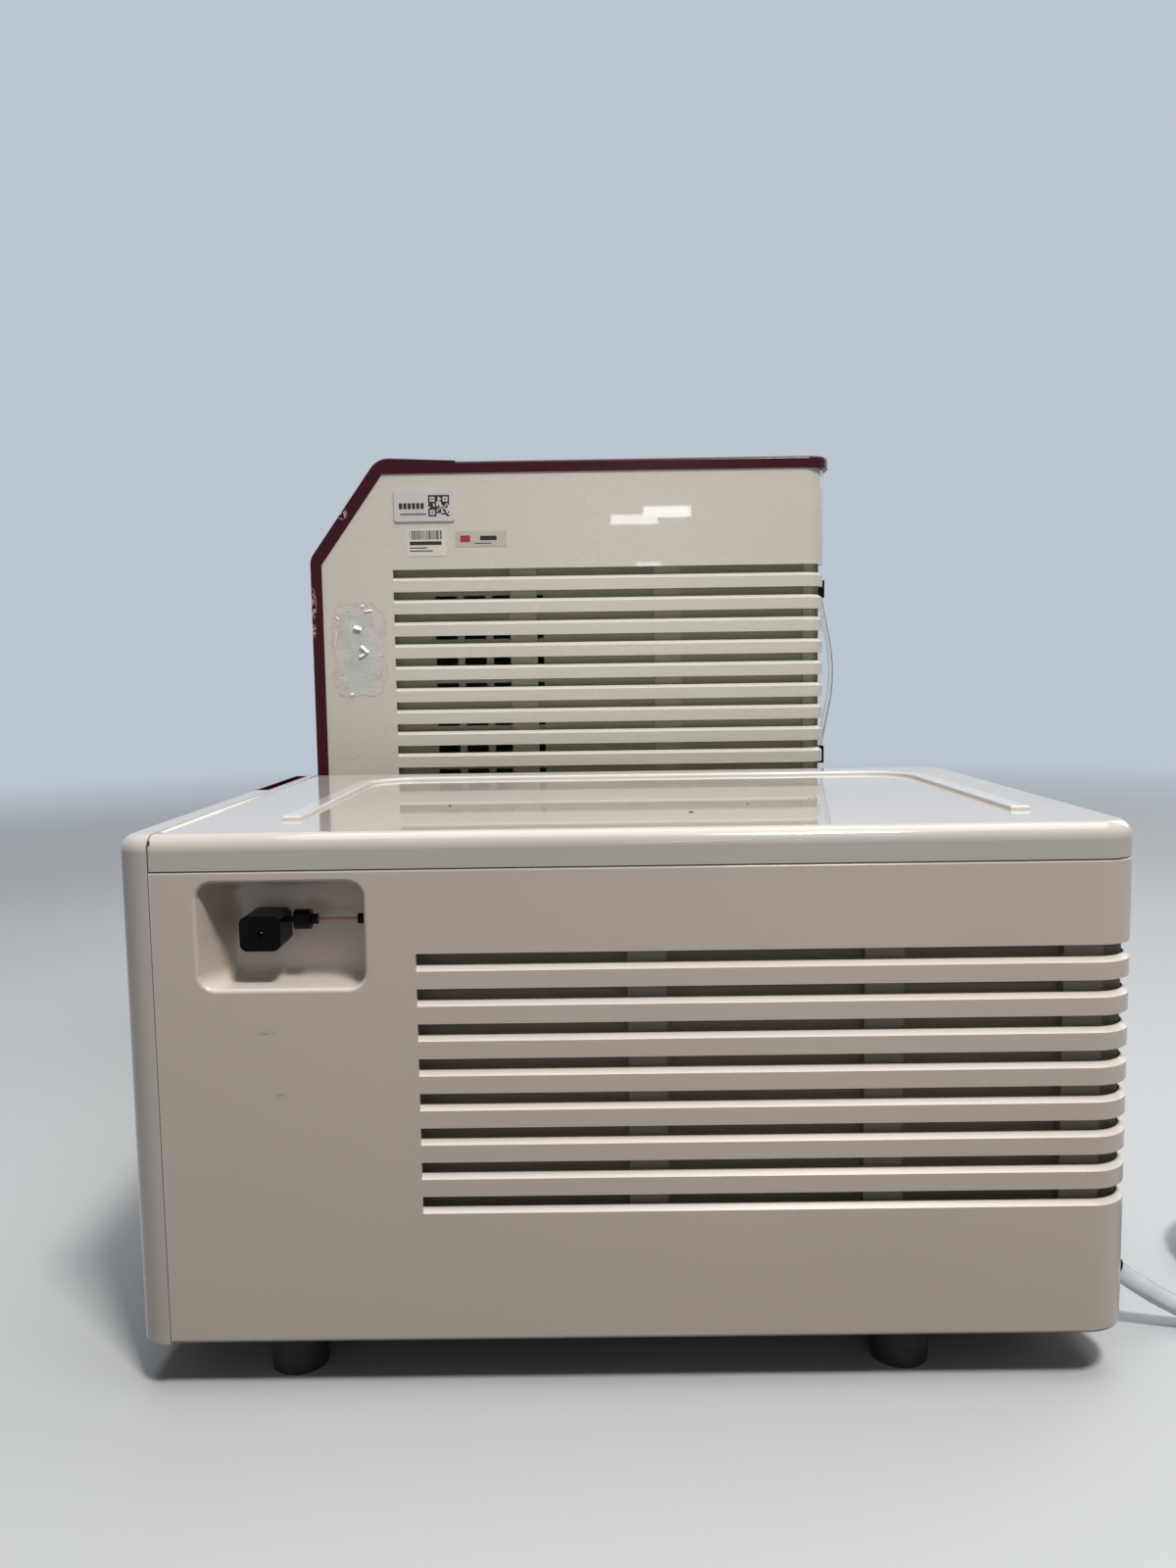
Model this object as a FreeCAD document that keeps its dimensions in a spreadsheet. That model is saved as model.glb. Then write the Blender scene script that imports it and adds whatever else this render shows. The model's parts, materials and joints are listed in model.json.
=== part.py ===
"""Fast protein liquid chromatography system: a separation unit and the fraction collector beside it.

The frame has X to the right of someone who faces the front, Y to the back and Z up, in millimetres. Its origin
lies on the bench, under the middle of the two units. The separation unit stands on the left and the collector on
the right, where its side with the louvres and the inlet recess faces outwards.
"""
import FreeCAD, Part
import math
import os
import re
import Sketcher

DRIVING = [
    # Both units
    ("unit_gap", 50.0), ("foot_tall", 30.0), ("foot_radius", 17.0), ("foot_inset", 34.0),
    ("shell", 3.5), ("metal", 2.0), ("seam", 0.5), ("floor_thick", 3.0),
    ("slot_tall", 10.0), ("slot_pitch", 20.0), ("slot_rise", 2.8), ("slot_over", 2.0),
    ("run_fit", 0.05), ("slide_fit", 0.3), ("spare", 1.0),
    # Collector housing
    ("collector_wide", 390.0), ("collector_deep", 571.0), ("collector_tall", 324.0), ("cover_drop", 20.0),
    ("front_deep", 20.0), ("corner_front", 19.0), ("corner_back", 25.0), ("top_round", 9.0),
    ("collector_foot_front", -200.0), ("collector_foot_back", 160.0),
    ("front_margin", 12.0), ("boss_radius", 8.0), ("boss_inset", 60.0), ("boss_low", 78.0), ("boss_high", 120.0),
    ("grip_left", 107.0), ("grip_right", 232.0), ("grip_front", -278.5), ("grip_back", -267.0), ("grip_deep", 8.0),
    ("grip_wall", 1.5),
    ("collector_slots", 8.0), ("collector_slot_start", -118.5), ("collector_slot_low", 246.0),
    ("bead_wide", 12.0), ("bead_tall", 2.5), ("bead_left", 158.0), ("bead_right", 424.0),
    ("bead_front", -207.0), ("bead_back", 244.0), ("bead_corner", 46.0), ("bead_round", 1.8),
    # Inlet recess in the collector's right side
    ("recess_front", -240.2), ("recess_back", -147.1), ("recess_low", 237.0), ("recess_high", 296.7),
    ("recess_deep", 33.0), ("recess_wall", 2.5), ("recess_lean", 13.0), ("recess_corner", 9.0),
    ("recess_foot", 8.0), ("recess_lip", 2.4), ("skirt_round", 2.5),
    ("cover_seam", 0.8), ("seam_round", 1.0),
    ("block_wide", 23.0), ("block_tall", 20.0), ("block_back", 6.5), ("block_middle", -206.5),
    ("block_level", 267.0), ("block_round", 4.5), ("block_hole", 1.75), ("block_hole_deep", 8.0),
    ("line_deep", 17.5),
    ("line_level", 273.0), ("neck_long", 6.0), ("neck_radius", 1.8), ("nut_long", 9.0), ("nut_radius", 5.7),
    ("collar_long", 4.0), ("collar_radius", 3.0), ("tube_radius", 0.8), ("wall_nut_long", 6.0),
    ("wall_nut_radius", 3.0),
    # Collector chassis and drawer
    ("chassis_gap", 10.5), ("rib_wide", 22.0), ("rib_thick", 7.5), ("rib_first", 10.0), ("rib_pitch", 133.0),
    ("bulkhead", 226.0), ("wall_top", 300.0), ("slide_low", 60.0), ("slide_tall", 36.0),
    ("slide_wide", 12.0), ("slide_front", -255.0), ("slide_back", 205.0),
    ("drawer_low", 58.0), ("drawer_back", 188.0), ("drawer_flange", 140.0),
    ("drawer_side_tall", 36.0), ("tray_wall", 2.5), ("tray_tall", 18.0), ("tray_margin", 8.0),
    ("tray_near", -244.5), ("tray_far", 174.5), ("cassette_pitch_x", 150.0), ("cassette_pitch_y", 138.0),
    ("cassette_middle", -35.0),
    ("cassette_wide", 144.0), ("cassette_deep", 134.0), ("cassette_tall", 50.0), ("cassette_wall", 2.5),
    ("vial_radius", 14.5), ("vial_wall", 1.2), ("vial_long", 112.0), ("vial_cone", 14.0), ("vial_tip", 4.0),
    ("vial_pitch", 42.0), ("plate_wide", 127.8), ("plate_deep", 85.5),
    # Dispenser gantry over the drawer
    ("rail_level", 278.0), ("rail_radius", 5.0), ("rail_inset", 36.5), ("rail_room", 66.5),
    ("crossbar_front", -258.0), ("crossbar_back", -246.0), ("crossbar_low", 262.0), ("crossbar_high", 296.0),
    ("beam_end", 12.0), ("beam_reach", 25.0), ("beam_deep", 30.0), ("beam_tall", 20.0), ("beam_middle", -25.0),
    ("dispenser_wide", 60.0), ("dispenser_wall", 8.0),
    ("arm_half", 10.0), ("arm_low", 200.0), ("nozzle_radius", 4.0), ("nozzle_low", 180.0),
    ("belt_gap", 3.0), ("belt_wide", 8.0), ("belt_thick", 1.5), ("belt_spread", 8.0), ("pulley_deep", 20.0),
    ("motor_wide", 42.0), ("motor_deep", 40.0),
    # Fans, power entries and electronics
    ("small_fan", 80.0), ("large_fan", 120.0), ("fan_deep", 25.0), ("fan_tip_gap", 1.5), ("fan_wall", 2.5),
    ("fan_strut", 3.0), ("fan_axle", 2.0), ("blade_thick", 1.6), ("blade_tilt", 32.0), ("blade_count", 7.0),
    ("collector_fan_x", 200.0), ("collector_fan_z", 150.0), ("main_fan_x", -100.0), ("main_fan_drop", 204.5),
    ("collector_entry_x", 330.0), ("collector_entry_z", 80.0), ("main_entry_x", -380.0), ("main_entry_z", 90.0),
    ("entry_wide", 28.0), ("entry_tall", 60.0), ("entry_deep", 26.0), ("entry_lip", 1.5), ("lip_wide", 3.0),
    ("socket_wide", 24.0), ("socket_tall", 16.5), ("socket_deep", 17.0), ("socket_drop", 13.0),
    ("pin_long", 13.0), ("pin_wide", 4.0), ("pin_thick", 2.0), ("pin_spread", 7.0),
    ("rocker_lift", 14.0), ("rocker_wide", 13.0), ("rocker_tall", 20.0), ("rocker_out", 0.5),
    ("rocker_throw", 2.1), ("rocker_taper", 3.0), ("rocker_pin", 1.2), ("rocker_pivot", 3.0), ("rocker_room", 1.5),
    # Separation unit housing
    ("main_wide", 535.0), ("main_tall", 604.5), ("main_front", -273.0), ("main_back", 194.5),
    ("band", 10.0), ("chamfer_tall", 88.5), ("chamfer_back", -209.5), ("panel_inset", 1.2),
    ("main_corner", 20.0), ("main_slots", 20.0), ("main_slot_start", -198.5), ("main_slot_drop", 109.3),
    ("band_corner", 15.0), ("hood_corner", 20.0), ("inner_corner", 5.0), ("hood_front", -195.0),
    ("main_foot_front", -225.0), ("main_foot_back", 150.0),
    ("top_tray_drop", 14.0), ("top_tray_tall", 10.5), ("tray_front", -139.5), ("tray_over", 4.0), ("tray_floor", 3.0),
    ("tray_rim", 8.0), ("tray_round", 3.0), ("hood_fall", 3.0), ("ridge_wide", 2.4), ("ridge_tall", 0.8),
    ("ridge_pitch", 5.4), ("ridge_first", -188.7), ("ridge_count", 6.0), ("ridge_long", 300.0),
    ("post_wide", 24.0), ("sill_tall", 30.0),
    ("module_face", -208.0), ("module_drop", 104.5), ("valve_drop", 170.0),
    # Inner walls behind the separation unit's louvres
    ("shield_gap", 6.0), ("shield_past", 11.5), ("shield_drop", 84.5), ("shield_rib_wide", 24.5),
    ("shield_end_rib", 8.0),
    ("shield_rib_first", -93.2), ("shield_rib_pitch", 131.8), ("shield_rib_thick", 3.0),
    ("vent_wide", 20.0), ("vent_tall", 13.0), ("vent_first", -162.1), ("vent_pitch", 26.4), ("vent_rise", 26.5),
    ("vent_drop", 396.0), ("vent_rows", 14.0), ("vent_columns", 4.0),
    # Flow path modules
    ("head_radius", 21.0), ("head_long", 30.0), ("cap_radius", 16.0), ("cap_long", 14.0), ("check_radius", 5.0),
    ("check_long", 13.0), ("head_x", -412.0), ("head_z", 120.0), ("head_pitch_x", 56.0), ("head_pitch_z", 95.0),
    ("drive_wide", 112.0), ("drive_deep", 110.0), ("drive_tall", 80.0),
    ("valve_radius", 26.0), ("valve_deep", 22.0), ("stator_radius", 18.0), ("stator_deep", 16.0),
    ("port_radius", 3.6), ("port_deep", 5.0), ("port_ring", 11.5), ("port_count", 6.0),
    ("valve_motor_radius", 17.0), ("valve_motor_long", 55.0),
    ("monitor_wide", 110.0), ("monitor_tall", 90.0), ("monitor_deep", 45.0), ("monitor_x", -95.0),
    ("monitor_drop", 75.0), ("cell_radius", 13.0), ("cell_wide", 60.0), ("cell_tall", 50.0), ("cell_deep", 32.0),
    ("cell_x", -210.0), ("mixer_x", -400.0), ("mixer_drop", 35.0), ("mixer_tall", 70.0),
    ("mixer_radius", 20.0), ("mixer_out", 24.0),
    ("console_wide", 220.0), ("console_tall", 60.0), ("console_deep", 4.0), ("console_start", 24.0),
    ("button_radius", 9.0), ("button_fit", 0.25), ("button_deep", 2.4), ("button_out", 1.8),
    ("button_spread", 45.0),
    # Power supplies and circuit boards
    ("supply_wide", 90.0), ("supply_deep", 42.0), ("supply_tall", 70.0), ("supply_x", 405.0),
    ("board_x", 275.0), ("board_z", 190.0), ("board_wide", 60.0), ("board_tall", 120.0), ("board_thick", 1.6),
    ("standoff_long", 6.0), ("standoff_radius", 3.0), ("chip_size", 24.0), ("chip_tall", 8.0),
    ("main_supply_x", -115.0), ("main_supply_y", 100.0), ("main_supply_wide", 190.0),
    ("main_supply_deep", 120.0), ("main_supply_tall", 80.0),
    ("main_board_y", 25.0), ("main_board_z", 275.0), ("main_board_long", 250.0), ("main_board_tall", 250.0),
    # Tubes behind the units
    ("link_radius", 2.5), ("link_side", 14.0), ("link_drop", 128.5), ("link_fall", 138.0), ("link_bulge", 208.5),
    ("link_out", 194.2), ("link_port_deep", 7.0), ("link_port_tall", 16.0), ("link_port_half", 6.0),
    ("link_seat", 1.5),
    ("hose_radius", 6.0), ("hose_side", 430.0), ("drain_back", 289.5), ("drain_level", 46.0),
    ("drain_drop", 37.0), ("drain_reach", 12.0), ("drain_radius", 7.0),
    ("coil_mean", 66.0), ("coil_middle_y", 452.0), ("coil_tall", 50.0), ("coil_slack", 0.6),
    ("coil_lead", 8.0),
]

# Where the modules sit on the separation unit's front, as places along X and Z
VALVES = [("-250", "150"), ("-140", "150"), ("-40", "150"), ("-412", "(module_top - valve_drop)"),
          ("-330", "(module_top - valve_drop)")]

DERIVED = [
    ("right", "(main_wide + unit_gap + collector_wide) / 2"),
    ("main_left", "-right"),
    ("main_right", "main_left + main_wide"),
    ("main_middle", "(main_left + main_right) / 2"),
    ("left", "right - collector_wide"),
    ("middle", "(left + right) / 2"),
    ("back", "collector_deep / 2"),
    ("front", "-back"),
    ("body_front", "front + front_deep + seam"),
    ("cover_low", "collector_tall - cover_drop"),
    ("side_top", "cover_low - cover_seam"),
    ("floor_top", "foot_tall + floor_thick"),
    ("rear_face", "back - shell"),
    ("front_inner", "front + front_deep"),
    ("wall_out", "right - shell - chassis_gap"),
    ("wall_in", "wall_out - metal"),
    ("wall_in_left", "2 * middle - wall_in"),
    ("slide_in", "wall_in - slide_wide"),
    ("slide_in_left", "2 * middle - slide_in"),
    ("slide_high", "slide_low + slide_tall"),
    ("tray_side", "slide_in - metal - tray_margin"),
    ("tray_side_left", "2 * middle - tray_side"),
    ("tray_floor_top", "drawer_low + metal + tray_wall"),
    ("cassette_floor", "tray_floor_top + cassette_wall"),
    ("rail_left", "wall_in_left + rail_inset"),
    ("rail_right", "wall_in - rail_room"),
    ("beam_left", "rail_left - beam_end"),
    ("beam_right", "rail_right + beam_reach"),
    ("belt_left", "beam_right + belt_gap"),
    ("pulley_front", "bulkhead - pulley_deep"),
    ("dispenser_middle", "(rail_left + rail_right) / 2"),
    ("beam_front", "beam_middle - beam_deep / 2"),
    ("beam_back", "beam_middle + beam_deep / 2"),
    ("beam_low", "rail_level - beam_tall / 2"),
    ("beam_high", "rail_level + beam_tall / 2"),
    ("panel_right", "main_right - panel_inset"),
    ("panel_in", "panel_right - shell"),
    ("main_rear", "main_back - shell"),
    ("frame_back", "main_front + band"),
    ("chamfer_low", "main_tall - chamfer_tall"),
    ("tray_low", "main_tall - top_tray_drop"),
    ("tray_high", "tray_low + top_tray_tall"),
    ("hood_back", "main_tall - hood_fall"),
    ("main_slot_low", "main_tall - main_slot_drop"),
    ("module_top", "main_tall - module_drop"),
    ("shield_high", "main_tall - shield_drop"),
    ("main_fan_z", "main_tall - main_fan_drop"),
    ("vent_low", "shield_high - vent_drop"),
    ("link_high", "main_tall - link_drop"),
    ("link_low", "link_high - link_fall"),
    ("monitor_z", "module_top - monitor_drop"),
    ("cell_z", "module_top - monitor_drop"),
    ("mixer_high", "module_top - mixer_drop"),
    ("mixer_low", "mixer_high - mixer_tall"),
    ("chamfer_angle", "atan2(main_tall - chamfer_low; chamfer_back - main_front) / 1deg"),
    ("chamfer_shift", "band * tan(chamfer_angle * 0.5deg)"),
    ("inner_chamfer_low", "chamfer_low - chamfer_shift"),
    ("inner_chamfer_back", "frame_back + (tray_low - inner_chamfer_low) / tan(chamfer_angle * 1deg)"),
    ("module_back", "module_face + shell"),
    ("shield_front", "module_back + seam"),
    ("shield_back", "main_back - main_corner + shield_past"),
    ("hood_slope", "(main_tall - hood_back) / (tray_front - chamfer_back)"),
    ("hood_front_tall", "main_tall - (hood_front - chamfer_back) * hood_slope"),
    ("panel_left_in", "2 * main_middle - panel_in"),
    ("main_panel_low_x", "2 * main_middle - panel_right + main_corner"),
    ("main_panel_high_x", "panel_right - main_corner"),
    ("main_inner_rear", "main_rear - shell"),
    ("bulkhead_back", "bulkhead + metal"),
    ("line_x", "right - line_deep"),
    ("recess_bottom", "right - recess_deep"),
    ("block_end", "block_middle + block_wide / 2"),
]

doc = FreeCAD.newDocument("ChromatographySystem")
sheet = doc.addObject("Spreadsheet::Sheet", "Sizes")
places = doc.addObject("App::VarSet", "Places")
OWNER = {}
SAME = 0.1  # places nearer than this count as one
SUBPARTS = []


def full(text):
    """The expression with each size or place name led by the object that holds it."""
    return re.sub(r"[a-z][a-z_]*", lambda word: OWNER.get(word[0], "") + word[0], text)


def bind(thing, prop, text):
    thing.setExpression(prop, full(text))


def at(text):
    """The present value of an expression."""
    return float(sheet.evalExpression(full(text)))


def fill_sheet():
    for row, (name, value) in enumerate(DRIVING, 1):
        sheet.set(f"A{row}", name)
        sheet.set(f"B{row}", str(value))
        sheet.setAlias(f"B{row}", name)
        OWNER[name] = "Sizes."
    doc.recompute()
    for name, text in DERIVED:
        places.addProperty("App::PropertyFloat", name)
        bind(places, name, text)
        OWNER[name] = "Places."
    doc.recompute()


# Primitives and booleans

def block(name, x, y, z):
    """A box from the first to the second place on each axis."""
    solid = doc.addObject("Part::Box", name)
    for axis, size, (low, high) in zip("xyz", ("Length", "Width", "Height"), (x, y, z)):
        bind(solid, "Placement.Base." + axis, low)
        bind(solid, size, f"({high}) - ({low})")
    return solid


TURNS = {"x": (0, 1, 0, 90), "y": (1, 0, 0, -90), "z": (0, 0, 1, 0)}


def rod(name, axis, span, centre, radius):
    """A round bar along an axis, between the places in span, with its centre on the other two axes."""
    solid = doc.addObject("Part::Cylinder", name)
    *about, angle = TURNS[axis]
    solid.Placement = FreeCAD.Placement(FreeCAD.Vector(), FreeCAD.Rotation(FreeCAD.Vector(*about), angle))
    bind(solid, "Radius", radius)
    bind(solid, "Height", f"({span[1]}) - ({span[0]})")
    bind(solid, "Placement.Base." + axis, span[0])
    for other, place in zip([side for side in "xyz" if side != axis], centre):
        bind(solid, "Placement.Base." + other, place)
    return solid


def join(name, parts):
    solid = doc.addObject("Part::MultiFuse", name)
    solid.Shapes = parts
    return solid


def cut(name, base, tools):
    solid = doc.addObject("Part::Cut", name)
    solid.Base = base
    solid.Tool = tools[0] if len(tools) == 1 else join(name + "_cutters", tools)
    return solid


def several(name, parts):
    """Separate solids of one kind in one sub-part."""
    group = doc.addObject("Part::Compound", name)
    group.Links = parts
    return group


def mirrored(name, source, place):
    """The source's mirror image about a plane across X."""
    copy = doc.addObject("Part::Mirroring", name)
    copy.Source = source
    copy.Normal = FreeCAD.Vector(1, 0, 0)
    bind(copy, "Base.x", place)
    return copy


def copies(name, source, shifts):
    """The source's solid, repeated at each shift."""
    doc.recompute()
    group = doc.addObject("Part::Feature", name)
    group.Shape = Part.makeCompound([source.Shape.translated(FreeCAD.Vector(*shift)) for shift in shifts])
    return group


def keep(*parts):
    SUBPARTS.extend(parts)


# Bodies made of sketches and features

def body(name):
    return doc.addObject("PartDesign::Body", name)


def origin(owner, role):
    return next(thing for thing in owner.Origin.OriginFeatures if thing.Role == role)


def place_sketch(owner, plane, place):
    """A sketch on one of the body's own planes, moved to a place along the axis across it."""
    sketch = owner.newObject("Sketcher::SketchObject", owner.Name + "_sketch")
    sketch.AttachmentSupport = (origin(owner, plane + "_Plane"), [""])
    sketch.MapMode = "FlatFace"
    # The XZ plane's normal points to the front, so its places count the other way.
    bind(sketch, "AttachmentOffset.Base.z", f"({place}) * -1" if plane == "XZ" else place)
    return sketch


def fix_point(sketch, curve, end, u, v):
    """Holds a curve's point at a place, measured from the sketch's origin."""
    for kind, text in (("DistanceX", u), ("DistanceY", v)):
        number = sketch.addConstraint(Sketcher.Constraint(kind, -1, 1, curve, end, at(text)))
        bind(sketch, f"Constraints[{number}]", text)


def draw_loop(sketch, points):
    """A closed loop of straight lines through the points."""
    spots = [FreeCAD.Vector(at(u), at(v), 0) for u, v in points]
    first = sketch.GeometryCount
    lines = [Part.LineSegment(a, b) for a, b in zip(spots, spots[1:] + spots[:1])]
    sketch.addGeometry(lines)
    for number, (u, v) in enumerate(points):
        following = first + (number + 1) % len(points)
        sketch.addConstraint(Sketcher.Constraint("Coincident", first + number, 2, following, 1))
        fix_point(sketch, first + number, 1, u, v)


def draw_circle(sketch, u, v, radius):
    circle = Part.Circle(FreeCAD.Vector(at(u), at(v), 0), FreeCAD.Vector(0, 0, 1), at(radius))
    number = sketch.addGeometry(circle)
    fix_point(sketch, number, 3, u, v)
    size = sketch.addConstraint(Sketcher.Constraint("Radius", number, at(radius)))
    bind(sketch, f"Constraints[{size}]", radius)


def draw(owner, plane, place, loops):
    """A sketch of loops: a list of points each, or a circle's centre and radius."""
    sketch = place_sketch(owner, plane, place)
    for loop in loops:
        if isinstance(loop[0], str):
            draw_circle(sketch, *loop)
        else:
            draw_loop(sketch, loop)
    return sketch


def rectangle(u_low, u_high, v_low, v_high):
    return [(u_low, v_low), (u_high, v_low), (u_high, v_high), (u_low, v_high)]


def settle(owner, feature, grows):
    """Recomputes the body and makes sure that the feature added or removed material."""
    owner.Tip = feature
    doc.recompute()
    before = feature.BaseFeature.Shape.Volume if feature.BaseFeature else 0.0
    if (feature.Shape.Volume > before) is not grows:
        raise RuntimeError(f"{feature.Name} of {owner.Name} changed nothing, or the wrong way")
    return feature


def add(owner, plane, loops, low, high):
    """Material between two places along the axis across the plane."""
    sketch = draw(owner, plane, high if plane == "XZ" else low, loops)
    pad = owner.newObject("PartDesign::Pad", owner.Name + "_pad")
    pad.Profile = sketch
    bind(pad, "Length", f"({high}) - ({low})")
    return settle(owner, pad, True)


def take(owner, plane, loops, low, high):
    """A pocket between two places along the axis across the plane."""
    sketch = draw(owner, plane, low if plane == "XZ" else high, loops)
    pocket = owner.newObject("PartDesign::Pocket", owner.Name + "_pocket")
    pocket.Profile = sketch
    bind(pocket, "Length", f"({high}) - ({low})")
    return settle(owner, pocket, False)


def repeat(owner, feature, role, pitch, count, grows=False):
    """The feature again at each pitch along an axis of the body."""
    pattern = owner.newObject("PartDesign::LinearPattern", owner.Name + "_pattern")
    pattern.Originals = [feature]
    pattern.Direction = (origin(owner, role), [""])
    bind(pattern, "Length", f"({pitch}) * (({count}) - 1)")
    bind(pattern, "Occurrences", count)
    return settle(owner, pattern, grows)


def pick(owner, along=None, **spots):
    """The names of the body's edges that lie at these places, and run along an axis where one is given."""
    names = []
    for number, edge in enumerate(owner.Tip.Shape.Edges, 1):
        box = edge.BoundBox
        spans = {"x": (box.XMin, box.XMax), "y": (box.YMin, box.YMax), "z": (box.ZMin, box.ZMax)}
        if along and spans[along][1] - spans[along][0] < 0.99 * edge.Length:
            continue
        if all(abs(end - at(spot)) < 0.05 for side, spot in spots.items() for end in spans[side]):
            names.append(f"Edge{number}")
    return names


def round_off(owner, radius, edges):
    base = owner.Tip
    fillet = owner.newObject("PartDesign::Fillet", owner.Name + "_fillet")
    fillet.Base = (base, edges)
    bind(fillet, "Radius", radius)
    owner.Tip = fillet
    doc.recompute()
    if "Invalid" in fillet.State:
        raise RuntimeError(f"{fillet.Name} of {owner.Name} failed on {edges}")
    return fillet


# Louvred side walls

def draw_wrap(owner, place, face, start, corner, end, reach):
    """The slots' path: back along the side, round the rear corner and in along the back."""
    path = place_sketch(owner, "XY", place)
    side, turn, rear = at(face), at(corner), at(end)
    middle = FreeCAD.Vector(side - turn, rear - turn, 0)
    path.addGeometry([
        Part.LineSegment(FreeCAD.Vector(side, at(start), 0), FreeCAD.Vector(side, rear - turn, 0)),
        Part.ArcOfCircle(Part.Circle(middle, FreeCAD.Vector(0, 0, 1), turn), 0, math.pi / 2),
        Part.LineSegment(FreeCAD.Vector(side - turn, rear, 0), FreeCAD.Vector(at(reach), rear, 0)),
    ])
    path.addConstraint([
        Sketcher.Constraint("Coincident", 0, 2, 1, 1),
        Sketcher.Constraint("Coincident", 1, 2, 2, 1),
        Sketcher.Constraint("Horizontal", 2),
    ])
    fix_point(path, 0, 1, face, start)
    fix_point(path, 0, 2, face, f"({end}) - ({corner})")
    fix_point(path, 2, 2, reach, end)
    level = path.addConstraint(Sketcher.Constraint("DistanceY", -1, 1, 1, 3, rear - turn))
    bind(path, f"Constraints[{level}]", f"({end}) - ({corner})")
    return path


def louvred_side(name, face, start, end, low, high, corner, slot_start, slot_low, slot_count):
    """A moulded right-hand wall that wraps the rear corner, with slots whose lower lips rise inwards."""
    wall = body(name)
    inner = f"{face} - shell"
    wrap = f"{face} - {corner} - shell"
    rear_inner = f"{end} - shell"
    plan = [(face, start), (face, end), (wrap, end), (wrap, rear_inner), (inner, rear_inner), (inner, start)]
    add(wall, "XY", [plan], low, high)
    round_off(wall, f"{corner} - shell", pick(wall, "z", x=inner, y=rear_inner))
    round_off(wall, corner, pick(wall, "z", x=face, y=end))
    lowest = f"{slot_low} - slot_pitch * ({slot_count} - 1)"
    profile = draw(wall, "XZ", slot_start, [[
        (f"{face} + slot_over", lowest),
        (face, lowest),
        (inner, f"{lowest} + slot_rise"),
        (f"{inner} - slot_over", f"{lowest} + slot_rise"),
        (f"{inner} - slot_over", f"{lowest} + slot_tall"),
        (f"{face} + slot_over", f"{lowest} + slot_tall"),
    ]])
    path = draw_wrap(wall, lowest, face, slot_start, corner, end, f"{wrap} - slot_over")
    slot = wall.newObject("PartDesign::SubtractivePipe", name + "_slot")
    slot.Profile = profile
    slot.Spine = (path, ["Edge1", "Edge2", "Edge3"])
    settle(wall, slot, False)
    repeat(wall, slot, "Z_Axis", "slot_pitch", slot_count)
    return wall


def collector_sides():
    sizes = ("right", "body_front", "back", "foot_tall", "side_top", "corner_back",
             "collector_slot_start", "collector_slot_low", "collector_slots")
    wall = louvred_side("collector_side_right", *sizes)
    bottom = "right - recess_deep"
    floor_x = f"{bottom} - recess_wall"
    low, high = "recess_low - recess_wall", "recess_high + recess_wall"
    near, far = "recess_front - recess_wall", "recess_back + recess_wall"
    add(wall, "YZ", [rectangle(near, far, low, high)], floor_x, "right - shell")
    take(wall, "XY", [[
        ("right + slot_over", "recess_front"), ("right", "recess_front"),
        (bottom, "recess_front + recess_lean"), (bottom, "recess_back"), ("right + slot_over", "recess_back"),
    ]], "recess_low", "recess_high")
    round_off(wall, "recess_corner", recess_corners(wall))
    round_off(wall, "recess_foot", pick(wall, "y", x=bottom, z="recess_low"))
    round_off(wall, "recess_lip", pick(wall, None, x="right", z="recess_low")
              + pick(wall, None, x="right", y="recess_front"))
    plain = louvred_side("collector_left_form", *sizes)
    for side in (wall, plain):
        round_off(side, "skirt_round", pick(side, "y", x="right", z="foot_tall"))
        round_off(side, "seam_round", pick(side, "y", x="right", z="side_top"))
    keep(wall, mirrored("collector_side_left", plain, "middle"))


def recess_corners(wall):
    """The recess's four long corner edges, which run in from the side."""
    names = []
    for number, edge in enumerate(wall.Tip.Shape.Edges, 1):
        box = edge.BoundBox
        inside = at("recess_front") - SAME < box.YMin and box.YMax < at("recess_back") + SAME
        deep = abs(box.XLength - at("recess_deep")) < SAME
        level = min(abs(box.ZMin - at("recess_low")), abs(box.ZMin - at("recess_high"))) < SAME
        if inside and deep and level and box.ZLength < SAME:
            names.append(f"Edge{number}")
    return names


def collector_cover():
    """The top cover: a cap with rounded edges and a raised U-shaped bead, open towards the right."""
    cover = body("collector_cover")
    add(cover, "XY", [rectangle("left", "right", "body_front", "back")], "cover_low", "collector_tall")
    round_off(cover, "corner_back", pick(cover, "z", y="back"))
    round_off(cover, "top_round", [name for name in pick(cover, None, z="collector_tall")
                                   if name not in pick(cover, None, z="collector_tall", y="body_front")])
    block_top = cover.Tip
    under = [f"Face{number}" for number, face in enumerate(block_top.Shape.Faces, 1)
             if face.BoundBox.ZMax < at("cover_low") + 0.01]
    hollow = cover.newObject("PartDesign::Thickness", "collector_cover_hollow")
    hollow.Base = (block_top, under)
    bind(hollow, "Value", "shell")
    hollow.Reversed = True
    settle(cover, hollow, False)
    inner_left, inner_front, inner_back = "bead_left + bead_wide", "bead_front + bead_wide", "bead_back - bead_wide"
    bead_top = "collector_tall + bead_tall"
    add(cover, "XY", [[
        ("bead_right", "bead_front"), ("bead_right", inner_front), (inner_left, inner_front),
        (inner_left, inner_back), ("bead_right", inner_back), ("bead_right", "bead_back"),
        ("bead_left", "bead_back"), ("bead_left", "bead_front"),
    ]], "collector_tall", bead_top)
    for side, end, radius in ((inner_left, inner_front, "bead_corner - bead_wide"),
                              (inner_left, inner_back, "bead_corner - bead_wide"),
                              ("bead_left", "bead_front", "bead_corner"), ("bead_left", "bead_back", "bead_corner")):
        round_off(cover, radius, pick(cover, "z", x=side, y=end))
    round_off(cover, "bead_round", pick(cover, None, z=bead_top))
    round_off(cover, "seam_round", pick(cover, "x", y="body_front", z="collector_tall"))
    return cover


# Collector chassis, drawer and what the drawer carries

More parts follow.
